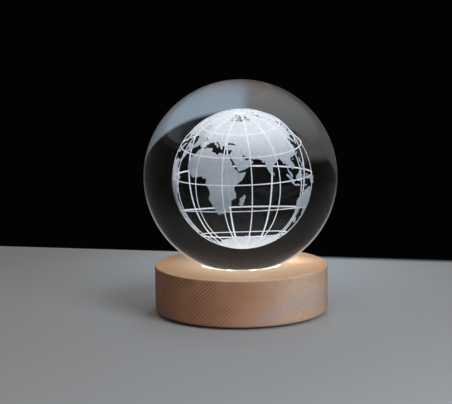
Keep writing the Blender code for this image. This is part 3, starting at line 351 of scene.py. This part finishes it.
def inside(lon, lat, outline):
    """Which of the places lie inside an outline of (longitude, latitude) points."""
    hit = np.zeros(len(lon), bool)
    for (x1, y1), (x2, y2) in zip(outline, outline[1:] + outline[:1]):
        if y1 == y2:
            continue
        crosses = (lat < y1) != (lat < y2)
        hit ^= crosses & (lon < x1 + (lat - y1) * (x2 - x1) / (y2 - y1))
    return hit


def is_land(lon, lat):
    """Which of the places are engraved as land.

    The far north, the Baltic and the seas round Britain and Ireland are filled in, because the
    photograph shows no dark there."""
    land = np.zeros(len(lon), bool)
    continents = [AFRICA, EURASIA, NORTH_AMERICA, SOUTH_AMERICA, AUSTRALIA, ANTARCTICA]
    for outline in continents + ISLANDS:
        land |= inside(lon, lat, outline)
    land |= inside(lon + 360, lat, EURASIA)
    for outline in INLAND_SEAS:
        land &= ~inside(lon, lat, outline)
    limit = np.where((lon > 5) & (lon < 95), 75, 84)
    polar = (lat > 63) & (lat < limit) & (lon > -80) & (lon < 120)
    baltic = (lat > 53.5) & (lat < 66) & (lon > -2) & (lon < 45)
    channel = (lat > 48.5) & (lat < 64) & (lon > -17) & (lon < 3)
    return land | polar | baltic | channel


def shrink(lat):
    """How much shorter a degree of longitude is at these latitudes, but never quite nothing."""
    return np.maximum(np.cos(np.radians(lat)), LEAST_COSINE)


def land_places():
    """Longitudes and latitudes of the land's dots, in degrees, and how far out they lie."""
    count = int(4 * math.pi * GLOBE_RADIUS**2 / DOT_SPACING**2)
    index = np.arange(count) + 0.5
    lat = np.degrees(np.arcsin(1 - 2 * index / count))
    lon = (np.degrees(index * GOLDEN_ANGLE) + 180) % 360 - 180
    lat = np.clip(lat + rng.normal(0, DOT_SCATTER_DEGREES, count), -90, 90)
    lon += rng.normal(0, DOT_SCATTER_DEGREES, count) / shrink(lat)

    # Thin frost round the north pole, and a thinner South America, which shows from behind
    kept = is_land(lon, lat) | ((lat > 66) & (rng.random(count) < 0.3))
    kept &= ~((lon < -32) & (lon > -85) & (lat < 12) & (rng.random(count) < 0.5))
    lon, lat = lon[kept], lat[kept]

    # As the photograph shows it, land up to 43 degrees lies too far north, and the rest too far south
    lat += (3 - 0.07 * lat) * np.minimum(1, (90 - np.abs(lat)) / 25)

    # The islands at the globe's right edge stand out a little
    raised = (lon > 118) & (lon < 152) & (np.abs(lat) < 9)
    radii = GLOBE_RADIUS + rng.normal(0, DOT_SCATTER_DEPTH, len(lat)) + ISLAND_RISE * raised
    return lon, lat, radii


def line_places():
    """Longitudes and latitudes of the dots of all the lines, in degrees."""
    lines = []
    for lat in PARALLELS:
        steps = int(2 * math.pi * GLOBE_RADIUS * math.cos(math.radians(lat)) / LINE_STEP)
        for row in LINE_ROWS:
            lon = np.linspace(-180, 180, steps, endpoint=False)
            lines.append((lon, np.full(steps, lat + math.degrees(row / GLOBE_RADIUS))))
    steps = int(math.pi * GLOBE_RADIUS / LINE_STEP)
    for lon in range(-180, 180, MERIDIAN_STEP):
        for row in LINE_ROWS:
            lat = np.linspace(-90, 90, steps)
            lines.append((lon + math.degrees(row / GLOBE_RADIUS) / shrink(lat), lat))
    return np.concatenate([lon for lon, _ in lines]), np.concatenate([lat for _, lat in lines])


def on_globe(lon, lat, radius, facing):
    """Places in the scene for longitudes and latitudes in degrees on the engraved globe."""
    turn = np.radians(lon - facing - 90)
    rise = np.radians(lat)
    places = np.stack(
        [np.cos(rise) * np.cos(turn), np.cos(rise) * np.sin(turn), np.sin(rise)], axis=-1
    )
    roll = np.array(Matrix.Rotation(GLOBE_ROLL, 3, "Y"))
    return (places * np.reshape(radius, (-1, 1))) @ roll.T + np.array(GLOBE_CENTRE)


def dots_mesh(name, places, size):
    """One mesh of small tetrahedra with edges of about this size, turned many ways."""
    corners = np.array([(1, 1, 1), (1, -1, -1), (-1, 1, -1), (-1, -1, 1)]) / math.sqrt(8)
    sides = np.array([(0, 1, 2), (0, 3, 1), (0, 2, 3), (1, 3, 2)])
    turns = rng.normal(size=(DOT_TURNS, 4))
    turns /= np.linalg.norm(turns, axis=1)[:, None]
    w, x, y, z = turns.T
    spins = np.stack(
        [
            np.stack([1 - 2 * (y * y + z * z), 2 * (x * y - z * w), 2 * (x * z + y * w)], -1),
            np.stack([2 * (x * y + z * w), 1 - 2 * (x * x + z * z), 2 * (y * z - x * w)], -1),
            np.stack([2 * (x * z - y * w), 2 * (y * z + x * w), 1 - 2 * (x * x + y * y)], -1),
        ],
        1,
    )
    shapes = np.einsum("nij,kj->nki", spins, corners)
    sizes = size * rng.uniform(0.8, 1.2, len(places))
    points = shapes[rng.integers(0, DOT_TURNS, len(places))] * sizes[:, None, None]
    points = (points + places[:, None, :]).reshape(-1, 3)
    faces = (sides[None] + 4 * np.arange(len(places))[:, None, None]).reshape(-1, 3)
    mesh = bpy.data.meshes.new(name)
    mesh.vertices.add(len(points))
    mesh.vertices.foreach_set("co", points.astype(np.float32).ravel())
    mesh.loops.add(faces.size)
    mesh.loops.foreach_set("vertex_index", faces.astype(np.int32).ravel())
    mesh.polygons.add(len(faces))
    mesh.polygons.foreach_set("loop_start", np.arange(0, faces.size, 3, dtype=np.int32))
    mesh.update(calc_edges=True)
    mesh.validate()
    return mesh


def link(name, data, body=None, material=None):
    """A new object in the scene, which may ride on a body and have a material of its own."""
    obj = bpy.data.objects.new(name, data)
    bpy.context.scene.collection.objects.link(obj)
    if material:
        data.materials.clear()
        data.materials.append(material)
    if body:
        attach(obj, body)
    return obj


# Materials
class Finish:
    """A procedural material or world, built from nodes whose sockets are set or linked by name."""

    def __init__(self, name, world=False):
        kind = bpy.data.worlds if world else bpy.data.materials
        self.owner = kind.new(name)
        self.owner.use_nodes = True
        self.tree = self.owner.node_tree
        self.tree.nodes.clear()
        self.place = self.add("ShaderNodeTexCoord").outputs["Object"]

    def add(self, kind, inputs=None, **settings):
        """A new node. Its inputs are sockets to link or values to set."""
        node = self.tree.nodes.new(kind)
        for key, value in settings.items():
            setattr(node, key, value)
        for key, value in (inputs or {}).items():
            socket = node.inputs[key]
            if isinstance(value, bpy.types.NodeSocket):
                self.tree.links.new(value, socket)
            else:
                socket.default_value = value
        return node

    def noise(self, scale, detail=2.0, rough=0.5, vector=None, stretch=None):
        """Noise from 0 to 1, about scale features in a metre."""
        vector = vector or self.place
        if stretch:
            vector = self.add(
                "ShaderNodeVectorMath", {0: vector, 1: stretch}, operation="MULTIPLY"
            ).outputs[0]
        node = self.add(
            "ShaderNodeTexNoise",
            {"Vector": vector, "Scale": scale, "Detail": detail, "Roughness": rough},
        )
        return node.outputs["Fac"]

    def ramp(self, value, low, high, to_low=0.0, to_high=1.0):
        """A smooth step from to_low to to_high while the value goes from low to high."""
        node = self.add(
            "ShaderNodeMapRange",
            {0: value, 1: low, 2: high, 3: to_low, 4: to_high},
            interpolation_type="SMOOTHSTEP",
        )
        return node.outputs[0]

    def math(self, operation, first, second=0.0):
        """The result of a sum on one or two numbers."""
        return self.add("ShaderNodeMath", {0: first, 1: second}, operation=operation).outputs[0]

    def product(self, first, *others):
        """The numbers multiplied together."""
        for other in others:
            first = self.math("MULTIPLY", first, other)
        return first

    def mix(self, share, first, second):
        """The first colour, with this share of it replaced by the second."""
        node = self.add("ShaderNodeMix", data_type="RGBA", blend_type="MIX")
        for index, value in ((0, share), (6, first), (7, second)):
            if isinstance(value, bpy.types.NodeSocket):
                self.tree.links.new(value, node.inputs[index])
            elif index:
                node.inputs[index].default_value = (*value, 1)
            else:
                node.inputs[index].default_value = value
        return node.outputs[2]

    def mirrored(self):
        """1 for a ray that a surface has mirrored and not let through, otherwise 0."""
        paths = self.add("ShaderNodeLightPath").outputs
        direct = self.math("SUBTRACT", 1.0, paths["Is Transmission Ray"])
        return self.product(paths["Is Glossy Ray"], direct)

    def bump(self, height, strength, distance):
        """A normal that follows a height."""
        return self.add(
            "ShaderNodeBump", {"Height": height, "Strength": strength, "Distance": distance}
        ).outputs[0]

    def done(self, shader):
        """The material, with this shader on its surface."""
        self.add("ShaderNodeOutputMaterial", {"Surface": shader})
        return self.owner


def mottled(name, dark, light, scale, roughness, metallic=0.0):
    """Plastic, rubber, ceramic or metal with fine speckle, uneven gloss and a slight texture."""
    f = Finish(name)
    fine = f.noise(scale, 4.0, 0.6)
    broad = f.noise(scale / 12, 2.0)
    colour = f.mix(f.ramp(fine, 0.3, 0.7), dark, light)
    colour = f.mix(f.ramp(broad, 0.35, 0.65, 0.0, 0.35), colour, dark)
    low, high = roughness
    shader = f.add(
        "ShaderNodeBsdfPrincipled",
        {
            "Base Color": colour,
            "Roughness": f.ramp(broad, 0.3, 0.7, low, high),
            "Metallic": metallic,
            "Normal": f.bump(fine, 0.4, 0.0001),
        },
    )
    return f.done(shader.outputs[0])


def beech():
    """Beech with its grain nearly front to back, slanting growth rings and short ray flecks.

    The rings show most, and the wood is darkest, where its end grain faces out at the front left."""
    f = Finish("beech_finish")
    split = f.add("ShaderNodeSeparateXYZ", {0: f.place})
    x, y, z = split.outputs
    flat = f.add("ShaderNodeCombineXYZ", {0: x, 1: y}).outputs[0]
    away = f.add("ShaderNodeVectorMath", {0: flat}, operation="LENGTH").outputs["Value"]
    turned, straight = math.sin(GRAIN_TURN), math.cos(GRAIN_TURN)
    along = f.math("ADD", f.product(x, turned), f.product(y, straight))
    across = f.math("SUBTRACT", f.product(x, straight), f.product(y, turned))
    grain = f.add("ShaderNodeCombineXYZ", {0: along, 1: across, 2: z}).outputs[0]

    warp = f.product(f.noise(32, 2.0, 0.5, grain, (0.25, 1, 1)), RING_WARP)
    upward, sideways = math.cos(RING_TILT), math.sin(RING_TILT)
    depth = f.math("SUBTRACT", f.product(z, upward), f.product(across, sideways))
    rings = f.math("FRACT", f.math("DIVIDE", f.math("ADD", depth, warp), RING_PITCH))
    patchy = f.ramp(f.noise(170, 3.0, 0.6, grain, (0.3, 1, 1)), 0.36, 0.62, 0.20, 1.0)
    late = f.product(f.ramp(rings, 0.46, 0.74), f.ramp(rings, 0.80, 0.96, 1.0, 0.0), patchy)

    normal = f.add("ShaderNodeNewGeometry").outputs["Normal"]
    end_way = (math.sin(END_GRAIN_TURN), math.cos(END_GRAIN_TURN), 0)
    facing = f.add(
        "ShaderNodeVectorMath", {0: normal, 1: end_way}, operation="DOT_PRODUCT"
    ).outputs["Value"]
    end_grain = f.math("ABSOLUTE", facing)
    flecks = f.ramp(f.noise(900, 2.0, 0.6, grain, (0.16, 1, 1)), 0.56, 0.68)
    pores = f.ramp(f.noise(5200, 1.0, 0.5, grain, (0.05, 1, 1)), 0.60, 0.72)
    cloud = f.ramp(f.noise(55, 3.0, 0.55, grain, (0.35, 1, 1)), 0.3, 0.7)

    pale = f.mix(cloud, (0.60, 0.370, 0.220), (0.68, 0.440, 0.280))
    dark = f.mix(cloud, (0.46, 0.180, 0.085), (0.54, 0.220, 0.108))
    colour = f.mix(f.ramp(end_grain, 0.15, 0.95, 0.0, 0.76), pale, dark)
    # Painted highlight: a pale line along the top and bottom rims
    colour = f.mix(f.product(painted_rim_highlights(f, z, away), 0.35), colour, (0.80, 0.62, 0.48))
    shown = f.ramp(end_grain, 0.68, 0.99, 0.06, 0.66)
    colour = f.mix(f.product(late, shown), colour, (0.09, 0.026, 0.015))
    colour = f.mix(f.product(flecks, 0.28), colour, (0.40, 0.20, 0.11))
    colour = f.mix(f.product(pores, 0.22), colour, (0.30, 0.16, 0.09))
    # Painted bluish reflections on the wood's side
    reflection_streak, reflection_patch = painted_bluish_reflections(f, x, y, z)
    colour = f.mix(reflection_streak, colour, (0.38, 0.38, 0.50))
    colour = f.mix(reflection_patch, colour, (0.19, 0.18, 0.28))
    # Painted shade: where the wood is seen mirrored in the glass, it is much darker
    colour = f.mix(f.product(f.mirrored(), 0.8), colour, (0.06, 0.06, 0.06))
    height = f.math("ADD", f.product(late, -0.6), f.product(pores, -0.8))
    shader = f.add(
        "ShaderNodeBsdfPrincipled",
        {
            "Base Color": colour,
            "Roughness": f.ramp(cloud, 0.0, 1.0, 0.36, 0.46),
            "Normal": f.bump(height, 0.25, 0.00008),
            "Emission Color": (1.0, 0.85, 0.66, 1),
            "Emission Strength": seat_glow(f, x, y, z, away),
        },
    )
    return f.done(shader.outputs[0])


def painted_rim_highlights(f, z, away):
    """Where the wood's top and bottom rims are painted paler, as a highlight along each rim."""
    top_rim = f.ramp(z, WOOD_TOP - 0.0008, WOOD_TOP - 0.0003)
    low_rim = f.ramp(z, WOOD_BOTTOM + 0.0003, WOOD_BOTTOM + 0.0009, 1.0, 0.0)
    outer = f.ramp(away, WOOD_RADIUS - 0.0010, WOOD_RADIUS - 0.0004)
    return f.product(f.math("MAXIMUM", top_rim, low_rim), outer)


def painted_bluish_reflections(f, x, y, z):
    """Painted bluish reflections: a faint streak that rises round the wood's front right, and a patch
    at its lower left.
    """
    round_way = f.math("ARCTAN2", x, f.product(y, -1.0))
    rise = f.ramp(round_way, 0.05, 0.75, 0.0031, 0.0104)
    off_streak = f.math("ABSOLUTE", f.math("SUBTRACT", z, rise))
    reflection_streak = f.product(
        f.ramp(off_streak, 0.0005, 0.0055, 1.0, 0.0),
        f.ramp(x, -0.002, 0.010),
        f.ramp(y, 0.0, 0.008, 0.20, 0.0),
    )
    fall = f.ramp(round_way, -1.25, -0.80, 0.0072, 0.0016)
    off_patch = f.math("ABSOLUTE", f.math("SUBTRACT", z, fall))
    reflection_patch = f.product(
        f.ramp(off_patch, 0.0004, 0.0036, 1.0, 0.0),
        f.ramp(x, -0.028, -0.022, 0.42, 0.0),
        f.ramp(y, -0.018, -0.007, 1.0, 0.0),
    )
    return reflection_streak, reflection_patch


def seat_glow(f, x, y, z, away):
    """The LED light that leaks between the ball and its seat, brightest at each LED, and its halo."""
    near = f.product(
        f.ramp(away, SEAT_LIGHT_START, SEAT_LIGHT_FULL),
        f.ramp(away, SEAT_LIGHT_FADE, SEAT_LIGHT_END, 1.0, 0.0),
    )
    upper = f.ramp(z, WOOD_TOP - 0.0012, WOOD_TOP - 0.0008)
    round_leds = f.product(f.math("ARCTAN2", y, x), LED_COUNT)
    spots = f.ramp(f.math("COSINE", round_leds), 0.3, 1.0, 3.0, 8.0)
    halo = f.product(f.ramp(away, HALO_START, HALO_END, 0.20, 0.0), upper)
    refracted = f.add("ShaderNodeLightPath").outputs["Is Transmission Ray"]
    seen = f.math("SUBTRACT", 1.0, refracted)
    return f.product(f.math("ADD", f.product(near, upper, spots), halo), seen)


def rim_glow(f):
    """The LED light that runs round in the glass and leaves at the rim of the ball's lower half."""
    facing = f.add("ShaderNodeLayerWeight", {"Blend": 0.5}).outputs["Facing"]
    height = f.add("ShaderNodeSeparateXYZ", {0: f.place}).outputs[2]
    low = f.ramp(height, -0.75 * BALL_RADIUS, 0.05 * BALL_RADIUS, 0.40, 0.03)
    return f.product(f.ramp(facing, 0.77, 0.94), low)


def clear(name, ior, tint, scale, streaks, glowing=False):
    """Clear glass or acrylic that lets lamps through, with the faintest uneven tint and polish."""
    f = Finish(name)
    polish = f.noise(scale, 2.0)
    shader = f.add(
        "ShaderNodeBsdfPrincipled",
        {
            "Base Color": f.mix(f.ramp(polish, 0.3, 0.7), tint, (1.0, 1.0, 1.0)),
            "Roughness": 0.0,
            "IOR": ior,
            "Transmission Weight": 1.0,
            "Normal": f.bump(polish, streaks, 0.0001),
            "Emission Color": (0.92, 0.96, 1.0, 1),
            "Emission Strength": rim_glow(f) if glowing else 0.0,
        },
    )
    through = f.add("ShaderNodeBsdfTransparent", {"Color": (0.97, 0.97, 0.97, 1)})
    shadow = f.add("ShaderNodeLightPath").outputs["Is Shadow Ray"]
    mixed = f.add("ShaderNodeMixShader", {0: shadow, 1: shader.outputs[0], 2: through.outputs[0]})
    return f.done(mixed.outputs[0])


def engraved(name, colour, glow):
    """The white micro-cracks that the laser leaves in the glass. Their glow is painted light that
    stands in for the LED light from below and the lamps' light from above. Glow and colour are
    dimmer where the cracks are seen mirrored.

    The four strengths of the glow are those of the lower half, the middle and above, the north
    and the south."""
    f = Finish(name)
    sparkle = f.noise(4200, 2.0)
    tone = f.mix(f.ramp(sparkle, 0.3, 0.7), tuple(0.86 * c for c in colour), colour)
    height = f.add("ShaderNodeSeparateXYZ", {0: f.place}).outputs[2]
    low, middle, top, bottom = glow
    # Painted light: the glow by height, brightest in the north and the south
    belt = f.ramp(height, GLOBE_CENTRE.z - 0.008, GLOBE_CENTRE.z, low, middle)
    north = f.ramp(height, GLOBE_CENTRE.z + 0.005, GLOBE_CENTRE.z + 0.020, 0.0, top - middle)
    south = f.ramp(height, GLOBE_CENTRE.z - 0.018, GLOBE_CENTRE.z - 0.008, bottom - low, 0.0)
    share = f.ramp(f.mirrored(), 0.0, 1.0, 1.0, 0.3)
    shader = f.add(
        "ShaderNodeBsdfPrincipled",
        {
            "Base Color": f.mix(share, (0.0, 0.0, 0.0), tone),
            "Roughness": 0.8,
            "Emission Color": (0.95, 0.97, 1.0, 1),
            "Emission Strength": f.product(f.math("ADD", f.math("ADD", belt, north), south), share),
        },
    )
    return f.done(shader.outputs[0])


def led():
    """A white package round a lit, pale yellow cup."""
    f = Finish("led_finish")
    own = f.add("ShaderNodeTexCoord").outputs["Generated"]
    middle = (0.5, 0.5, 1.0)
    off = f.add("ShaderNodeVectorMath", {0: own, 1: middle}, operation="SUBTRACT").outputs[0]
    split = f.add("ShaderNodeSeparateXYZ", {0: off})
    flat = f.add("ShaderNodeCombineXYZ", {0: split.outputs[0], 1: split.outputs[1]}).outputs[0]
    reach = f.add("ShaderNodeVectorMath", {0: flat}, operation="LENGTH").outputs["Value"]
    cup = f.ramp(reach, 0.24, 0.30, 1.0, 0.0)
    spread = f.add("ShaderNodeLightPath").outputs["Is Diffuse Ray"]
    seen = f.math("SUBTRACT", 1.0, spread)
    grit = f.noise(9000, 2.0)
    colour = f.mix(cup, (0.86, 0.86, 0.84), (0.95, 0.83, 0.42))
    colour = f.mix(f.ramp(grit, 0.3, 0.7, 0.0, 0.12), colour, (0.7, 0.7, 0.68))
    shader = f.add(
        "ShaderNodeBsdfPrincipled",
        {
            "Base Color": colour,
            "Roughness": f.ramp(cup, 0.0, 1.0, 0.45, 0.2),
            "Emission Color": (1.0, 0.86, 0.62, 1),
            "Emission Strength": f.product(cup, seen, 9.0),
        },
    )
    return f.done(shader.outputs[0])


# Camera
scene = bpy.context.scene
scene.view_settings.view_transform = "Standard"
camera_data = bpy.data.cameras.new("camera")
camera_data.sensor_width = 36
camera_data.lens = 115.44
camera_data.clip_start = 0.01
camera_data.clip_end = 20
camera = link("camera", camera_data)
camera.location = (0, -0.59438, 0.13865)
camera.rotation_euler = (math.radians(81.1382), math.radians(0.5634), math.radians(0.4975))
scene.camera = camera


# Floor and light
def floor():
    """A pale table top that ends in the dark of the room behind, as the photograph's ball shows it.

    Seen through the ball, its far part is cool on one side and warm on the other. It is darker to
    the rays that light the object, and darker still in mirrored rays, so that the glass stays as
    dark as it is over the photograph's black."""
    f = Finish("floor_finish")
    split = f.add("ShaderNodeSeparateXYZ", {0: f.place})
    x, y, _ = split.outputs
    behind = f.math("ADD", y, f.product(x, FLOOR_SLANT))
    edge = f.product(f.ramp(behind, 0.116, FLOOR_EDGE), f.ramp(x, -0.03, 0.0))
    grain = f.ramp(f.noise(420, 3.0), 0.3, 0.7, 0.0, 0.08)
    warm = f.mix(grain, (0.335, 0.325, 0.31), (0.305, 0.295, 0.285))
    cool = f.mix(grain, (0.46, 0.53, 0.60), (0.43, 0.50, 0.57))
    plain = f.mix(grain, (0.42, 0.42, 0.42), (0.38, 0.38, 0.38))
    paths = f.add("ShaderNodeLightPath").outputs
    seen = f.math("MAXIMUM", paths["Is Camera Ray"], paths["Is Transmission Ray"])
    plain = f.mix(seen, plain, f.mix(grain, (0.58, 0.58, 0.57), (0.53, 0.53, 0.52)))
    through = f.product(f.ramp(y, 0.01, 0.03), paths["Is Transmission Ray"])
    # Painted light and shade: seen through the ball, the far floor is cool and pale on the right, warm
    # and darker on the left, and the warm side darkens towards the far edge
    warm = f.mix(f.ramp(behind, 0.06, FLOOR_EDGE, 0.0, 0.30), warm, (0.05, 0.05, 0.05))
    pale = f.mix(through, plain, f.mix(f.ramp(x, -0.007, 0.001), warm, cool))
    pale = f.mix(f.product(f.mirrored(), 0.6), pale, (0.03, 0.03, 0.03))
    shader = f.add(
        "ShaderNodeBsdfPrincipled",
        {
            "Base Color": f.mix(edge, pale, (0.002, 0.002, 0.002)),
            "Roughness": f.ramp(grain, 0.0, 0.08, 0.65, 0.75),
            "Specular IOR Level": 0.0,
        },
    )
    data = bpy.data.meshes.new("floor")
    slant = FLOOR_SLANT * FLOOR_REACH
    corners = [
        (-FLOOR_REACH, -FLOOR_REACH, -FLOOR_DROP),
        (FLOOR_REACH, -FLOOR_REACH, -FLOOR_DROP),
        (FLOOR_REACH, FLOOR_EDGE - slant, -FLOOR_DROP),
        (-FLOOR_REACH, FLOOR_EDGE + slant, -FLOOR_DROP),
    ]
    data.from_pydata(corners, [], [(0, 1, 2, 3)])
    link("floor", data, material=f.done(shader.outputs[0]))


def unseen(lamp):
    """A lamp that lights, but isn't itself seen in the glass."""
    lamp.visible_camera = False
    lamp.visible_glossy = False
    lamp.visible_transmission = False


def softbox(name, place, aim, size, power, colour):
    """A large soft lamp."""
    data = bpy.data.lights.new(name, "AREA")
    data.shape = "RECTANGLE"
    data.size, data.size_y = size
    data.energy = power
    data.color = colour
    lamp = link(name, data)
    lamp.location = place
    lamp.rotation_euler = (Vector(aim) - Vector(place)).to_track_quat("-Z", "Y").to_euler()
    unseen(lamp)
    return lamp


def glow(name, place, power, radius, colour, receiver=None):
    """A small lamp for the LED light that the ball passes on."""
    data = bpy.data.lights.new(name, "POINT")
    data.energy = power
    data.color = colour
    data.shadow_soft_size = radius
    lamp = link(name, data)
    lamp.location = place
    unseen(lamp)
    if receiver:
        lamp.light_linking.receiver_collection = receiver


def surroundings():
    """A dark room with soft light on what stands in it. Through the ball, its far left corner
    and its ceiling are a dim grey."""
    f = Finish("surroundings", world=True)
    scene.world = f.owner
    split = f.add("ShaderNodeSeparateXYZ", {0: f.place.node.outputs["Generated"]})
    left = f.ramp(split.outputs[0], -0.52, -0.36, 1.0, 0.0)
    low = f.ramp(split.outputs[2], -0.29, -0.19, 1.0, 0.0)
    room = f.mix(f.product(left, low), (0.0015, 0.0014, 0.0013), (0.072, 0.069, 0.066))
    middle = f.ramp(f.math("ABSOLUTE", split.outputs[0]), 0.25, 0.75, 1.0, 0.2)
    ceiling = f.product(f.ramp(split.outputs[2], 0.08, 0.28), middle)
    room = f.mix(ceiling, room, (0.018, 0.0165, 0.015))
    paths = f.add("ShaderNodeLightPath")
    seen = f.add("ShaderNodeBackground", {0: (0.0008, 0.0008, 0.0009, 1)}).outputs[0]
    for ray, colour in (
        ("Is Diffuse Ray", (0.17, 0.15, 0.135, 1)),
        ("Is Glossy Ray", (0.06, 0.058, 0.056, 1)),
        ("Is Transmission Ray", room),
    ):
        light = f.add("ShaderNodeBackground", {0: colour}).outputs[0]
        seen = f.add("ShaderNodeMixShader", {0: paths.outputs[ray], 1: seen, 2: light}).outputs[0]
    f.add("ShaderNodeOutputWorld", {0: seen})


floor()
surroundings()
softbox("key_light", (0.36, -0.43, 0.24), (0, 0, 0.03), (0.3, 0.3), 2.3, (0.73, 0.85, 1.0))
window = softbox(
    "window_light", (0.03, 0.19, 0.17), (0.008, 0.085, 0), (0.06, 0.06), 0.018, (0.62, 0.82, 1.0)
)
window.data.spread = math.radians(60)
softbox("top_light", (0.0, -0.35, 0.8), (0, -0.05, 0.03), (0.5, 0.5), 0.5, (1.0, 0.97, 0.93))

# The ball and its engraving
glass = clear("glass_finish", 1.52, (0.985, 0.99, 0.99), 60, 0.0, glowing=True)
bpy.ops.mesh.primitive_uv_sphere_add(
    segments=BALL_SEGMENTS, ring_count=BALL_SEGMENTS // 2, radius=BALL_RADIUS
)
ball = bpy.context.object
ball.name = "glass_ball"
ball.location = BALL_CENTRE
ball.data.shade_smooth()
ball.data.materials.append(glass)
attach(ball, "ball")
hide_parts("crystal_ball")

longitude, latitude, radii = land_places()
land = link(
    "engraved_land",
    dots_mesh("engraved_land", on_globe(longitude, latitude, radii, LAND_FACING), DOT_SIZE),
    "ball",
    engraved("land_finish", (0.65, 0.68, 0.725), (0.0, 0.085, 0.54, 0.36)),
)
longitude, latitude = line_places()
radii = GLOBE_RADIUS + LINE_RISE + rng.normal(0, LINE_SCATTER_DEPTH, len(longitude))
graticule = link(
    "engraved_lines",
    dots_mesh("engraved_lines", on_globe(longitude, latitude, radii, LINES_FACING), LINE_DOT_SIZE),
    "ball",
    engraved("line_finish", (0.92, 0.94, 0.97), (0.18, 0.24, 0.66, 0.45)),
)
for piece in (land, graticule):
    piece.visible_shadow = False

# Finishes of the CAD pieces
wood = beech()
acrylic = clear("acrylic_finish", 1.49, (0.97, 0.98, 0.99), 90, 0.02)
lit = led()
steel = mottled("steel_finish", (0.42, 0.42, 0.43), (0.60, 0.60, 0.61), 3000, (0.25, 0.4), 1.0)
brass = mottled("brass_finish", (0.62, 0.45, 0.20), (0.80, 0.62, 0.32), 2600, (0.2, 0.35), 1.0)
black = mottled("black_plastic_finish", (0.012, 0.012, 0.013), (0.022, 0.022, 0.024), 2400, (0.35, 0.5))
rubber = mottled("rubber_finish", (0.035, 0.035, 0.035), (0.06, 0.06, 0.06), 1600, (0.75, 0.95))
button = mottled("button_finish", (0.50, 0.50, 0.48), (0.60, 0.60, 0.58), 2200, (0.35, 0.45))
board = mottled("board_finish", (0.78, 0.79, 0.77), (0.88, 0.88, 0.86), 900, (0.3, 0.4))
ceramic = mottled("ceramic_finish", (0.03, 0.03, 0.03), (0.07, 0.07, 0.07), 4000, (0.4, 0.6))
red = mottled("red_wire_finish", (0.50, 0.02, 0.015), (0.62, 0.035, 0.025), 1500, (0.35, 0.5))
dark_wire = mottled("black_wire_finish", (0.015, 0.015, 0.015), (0.03, 0.03, 0.03), 1500, (0.35, 0.5))


def finely_shaded(name, node):
    """A copy of a turned piece with smooth shading between its flats and crisp edges."""
    data = nodes[node].data.copy()
    form = bmesh.new()
    form.from_mesh(data)
    bmesh.ops.remove_doubles(form, verts=form.verts, dist=MERGE_DISTANCE)
    form.to_mesh(data)
    form.free()
    data.polygons.foreach_set("use_smooth", np.ones(len(data.polygons), bool))
    data.set_sharp_from_angle(angle=SHARP_ANGLE)
    return link(name, data)


def smooth_copy(name, node, body, material):
    """A finely shaded piece that stands for a CAD node, with a material of its own."""
    piece = finely_shaded(name, node)
    piece.data.materials.clear()
    piece.data.materials.append(material)
    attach(piece, body)
    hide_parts(node)
    return piece


def round_wall(piece, radius):
    """Shading normals straight out from the axis on the outer wall of a turned piece."""
    data = piece.data
    normals = [(0, 0, 0)] * len(data.loops)
    for face in data.polygons:
        for corner in face.loop_indices:
            place = data.vertices[data.loops[corner].vertex_index].co
            out = Vector((place.x, place.y, 0)).normalized()
            if place.xy.length > radius - WALL_TOLERANCE and face.normal.dot(out) > 0.9:
                normals[corner] = out
    data.normals_split_custom_set(normals)


stand = smooth_copy("turned_stand", "wood_base", "stand", wood)
round_wall(stand, WOOD_RADIUS)
smooth_copy("cover_plate", "base_plate", "stand", black)
smooth_copy("socket_shell", "jack_housing", "stand", black)
smooth_copy("socket_pin", "jack_pin", "stand", brass)
smooth_copy("switch_shell", "switch_body", "stand", black)
smooth_copy("push_button", "switch_button", "button", button)
for number in (1, 2, 3, 4):
    smooth_copy(f"rubber_foot_{number}", f"foot_{number}", "stand", rubber)
    smooth_copy(f"plate_fixing_{number}", f"plate_screw_{number}", "stand", steel)

# The spring, with a mesh of its own
spring = smooth_copy("coil_spring", "switch_spring", "stand", steel)
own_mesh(spring)

# LED light on the wood and on what is near it, and the cool light along the wood's side
lit_wood = bpy.data.collections.new("lit_wood")
lit_wood.objects.link(stand)
glow("globe_glow", GLOBE_CENTRE, 0.150, 0.012, (1.0, 0.86, 0.67), lit_wood)
glow("seat_glow", (0.021, 0.006, WOOD_TOP + 0.009), 0.0055, 0.001, (1.0, 0.93, 0.88), lit_wood)
sheen = softbox("sheen_light", (0.5, -0.32, 0.06), (0, 0, 0.01), (0.3, 0.2), 0.42, (0.34, 0.62, 1.0))
sheen.visible_glossy = True
sheen.light_linking.receiver_collection = lit_wood
glow("led_glow", (0, 0, WOOD_TOP + 0.003), 0.004, 0.006, (1.0, 0.93, 0.84))

# A name that ends in an underscore stands for all the nodes that begin with it and have no other
FINISHES = {
    "wood_base": wood,
    "lens_disc": acrylic,
    "led_board": board,
    "led_": lit,
    "resistor_": ceramic,
    "board_screw_": steel,
    "plate_screw_": steel,
    "jack_housing": black,
    "jack_": brass,
    "switch_body": black,
    "switch_cover": black,
    "switch_button": button,
    "switch_spring": steel,
    "switch_": brass,
    "wire_return": dark_wire,
    "wire_": red,
    "base_plate": black,
    "foot_": rubber,
    "crystal_ball": glass,
}
for name, node in nodes.items():
    key = name if name in FINISHES else next(k for k in FINISHES if k[-1] == "_" and name.startswith(k))
    node.data.materials.clear()
    node.data.materials.append(FINISHES[key])
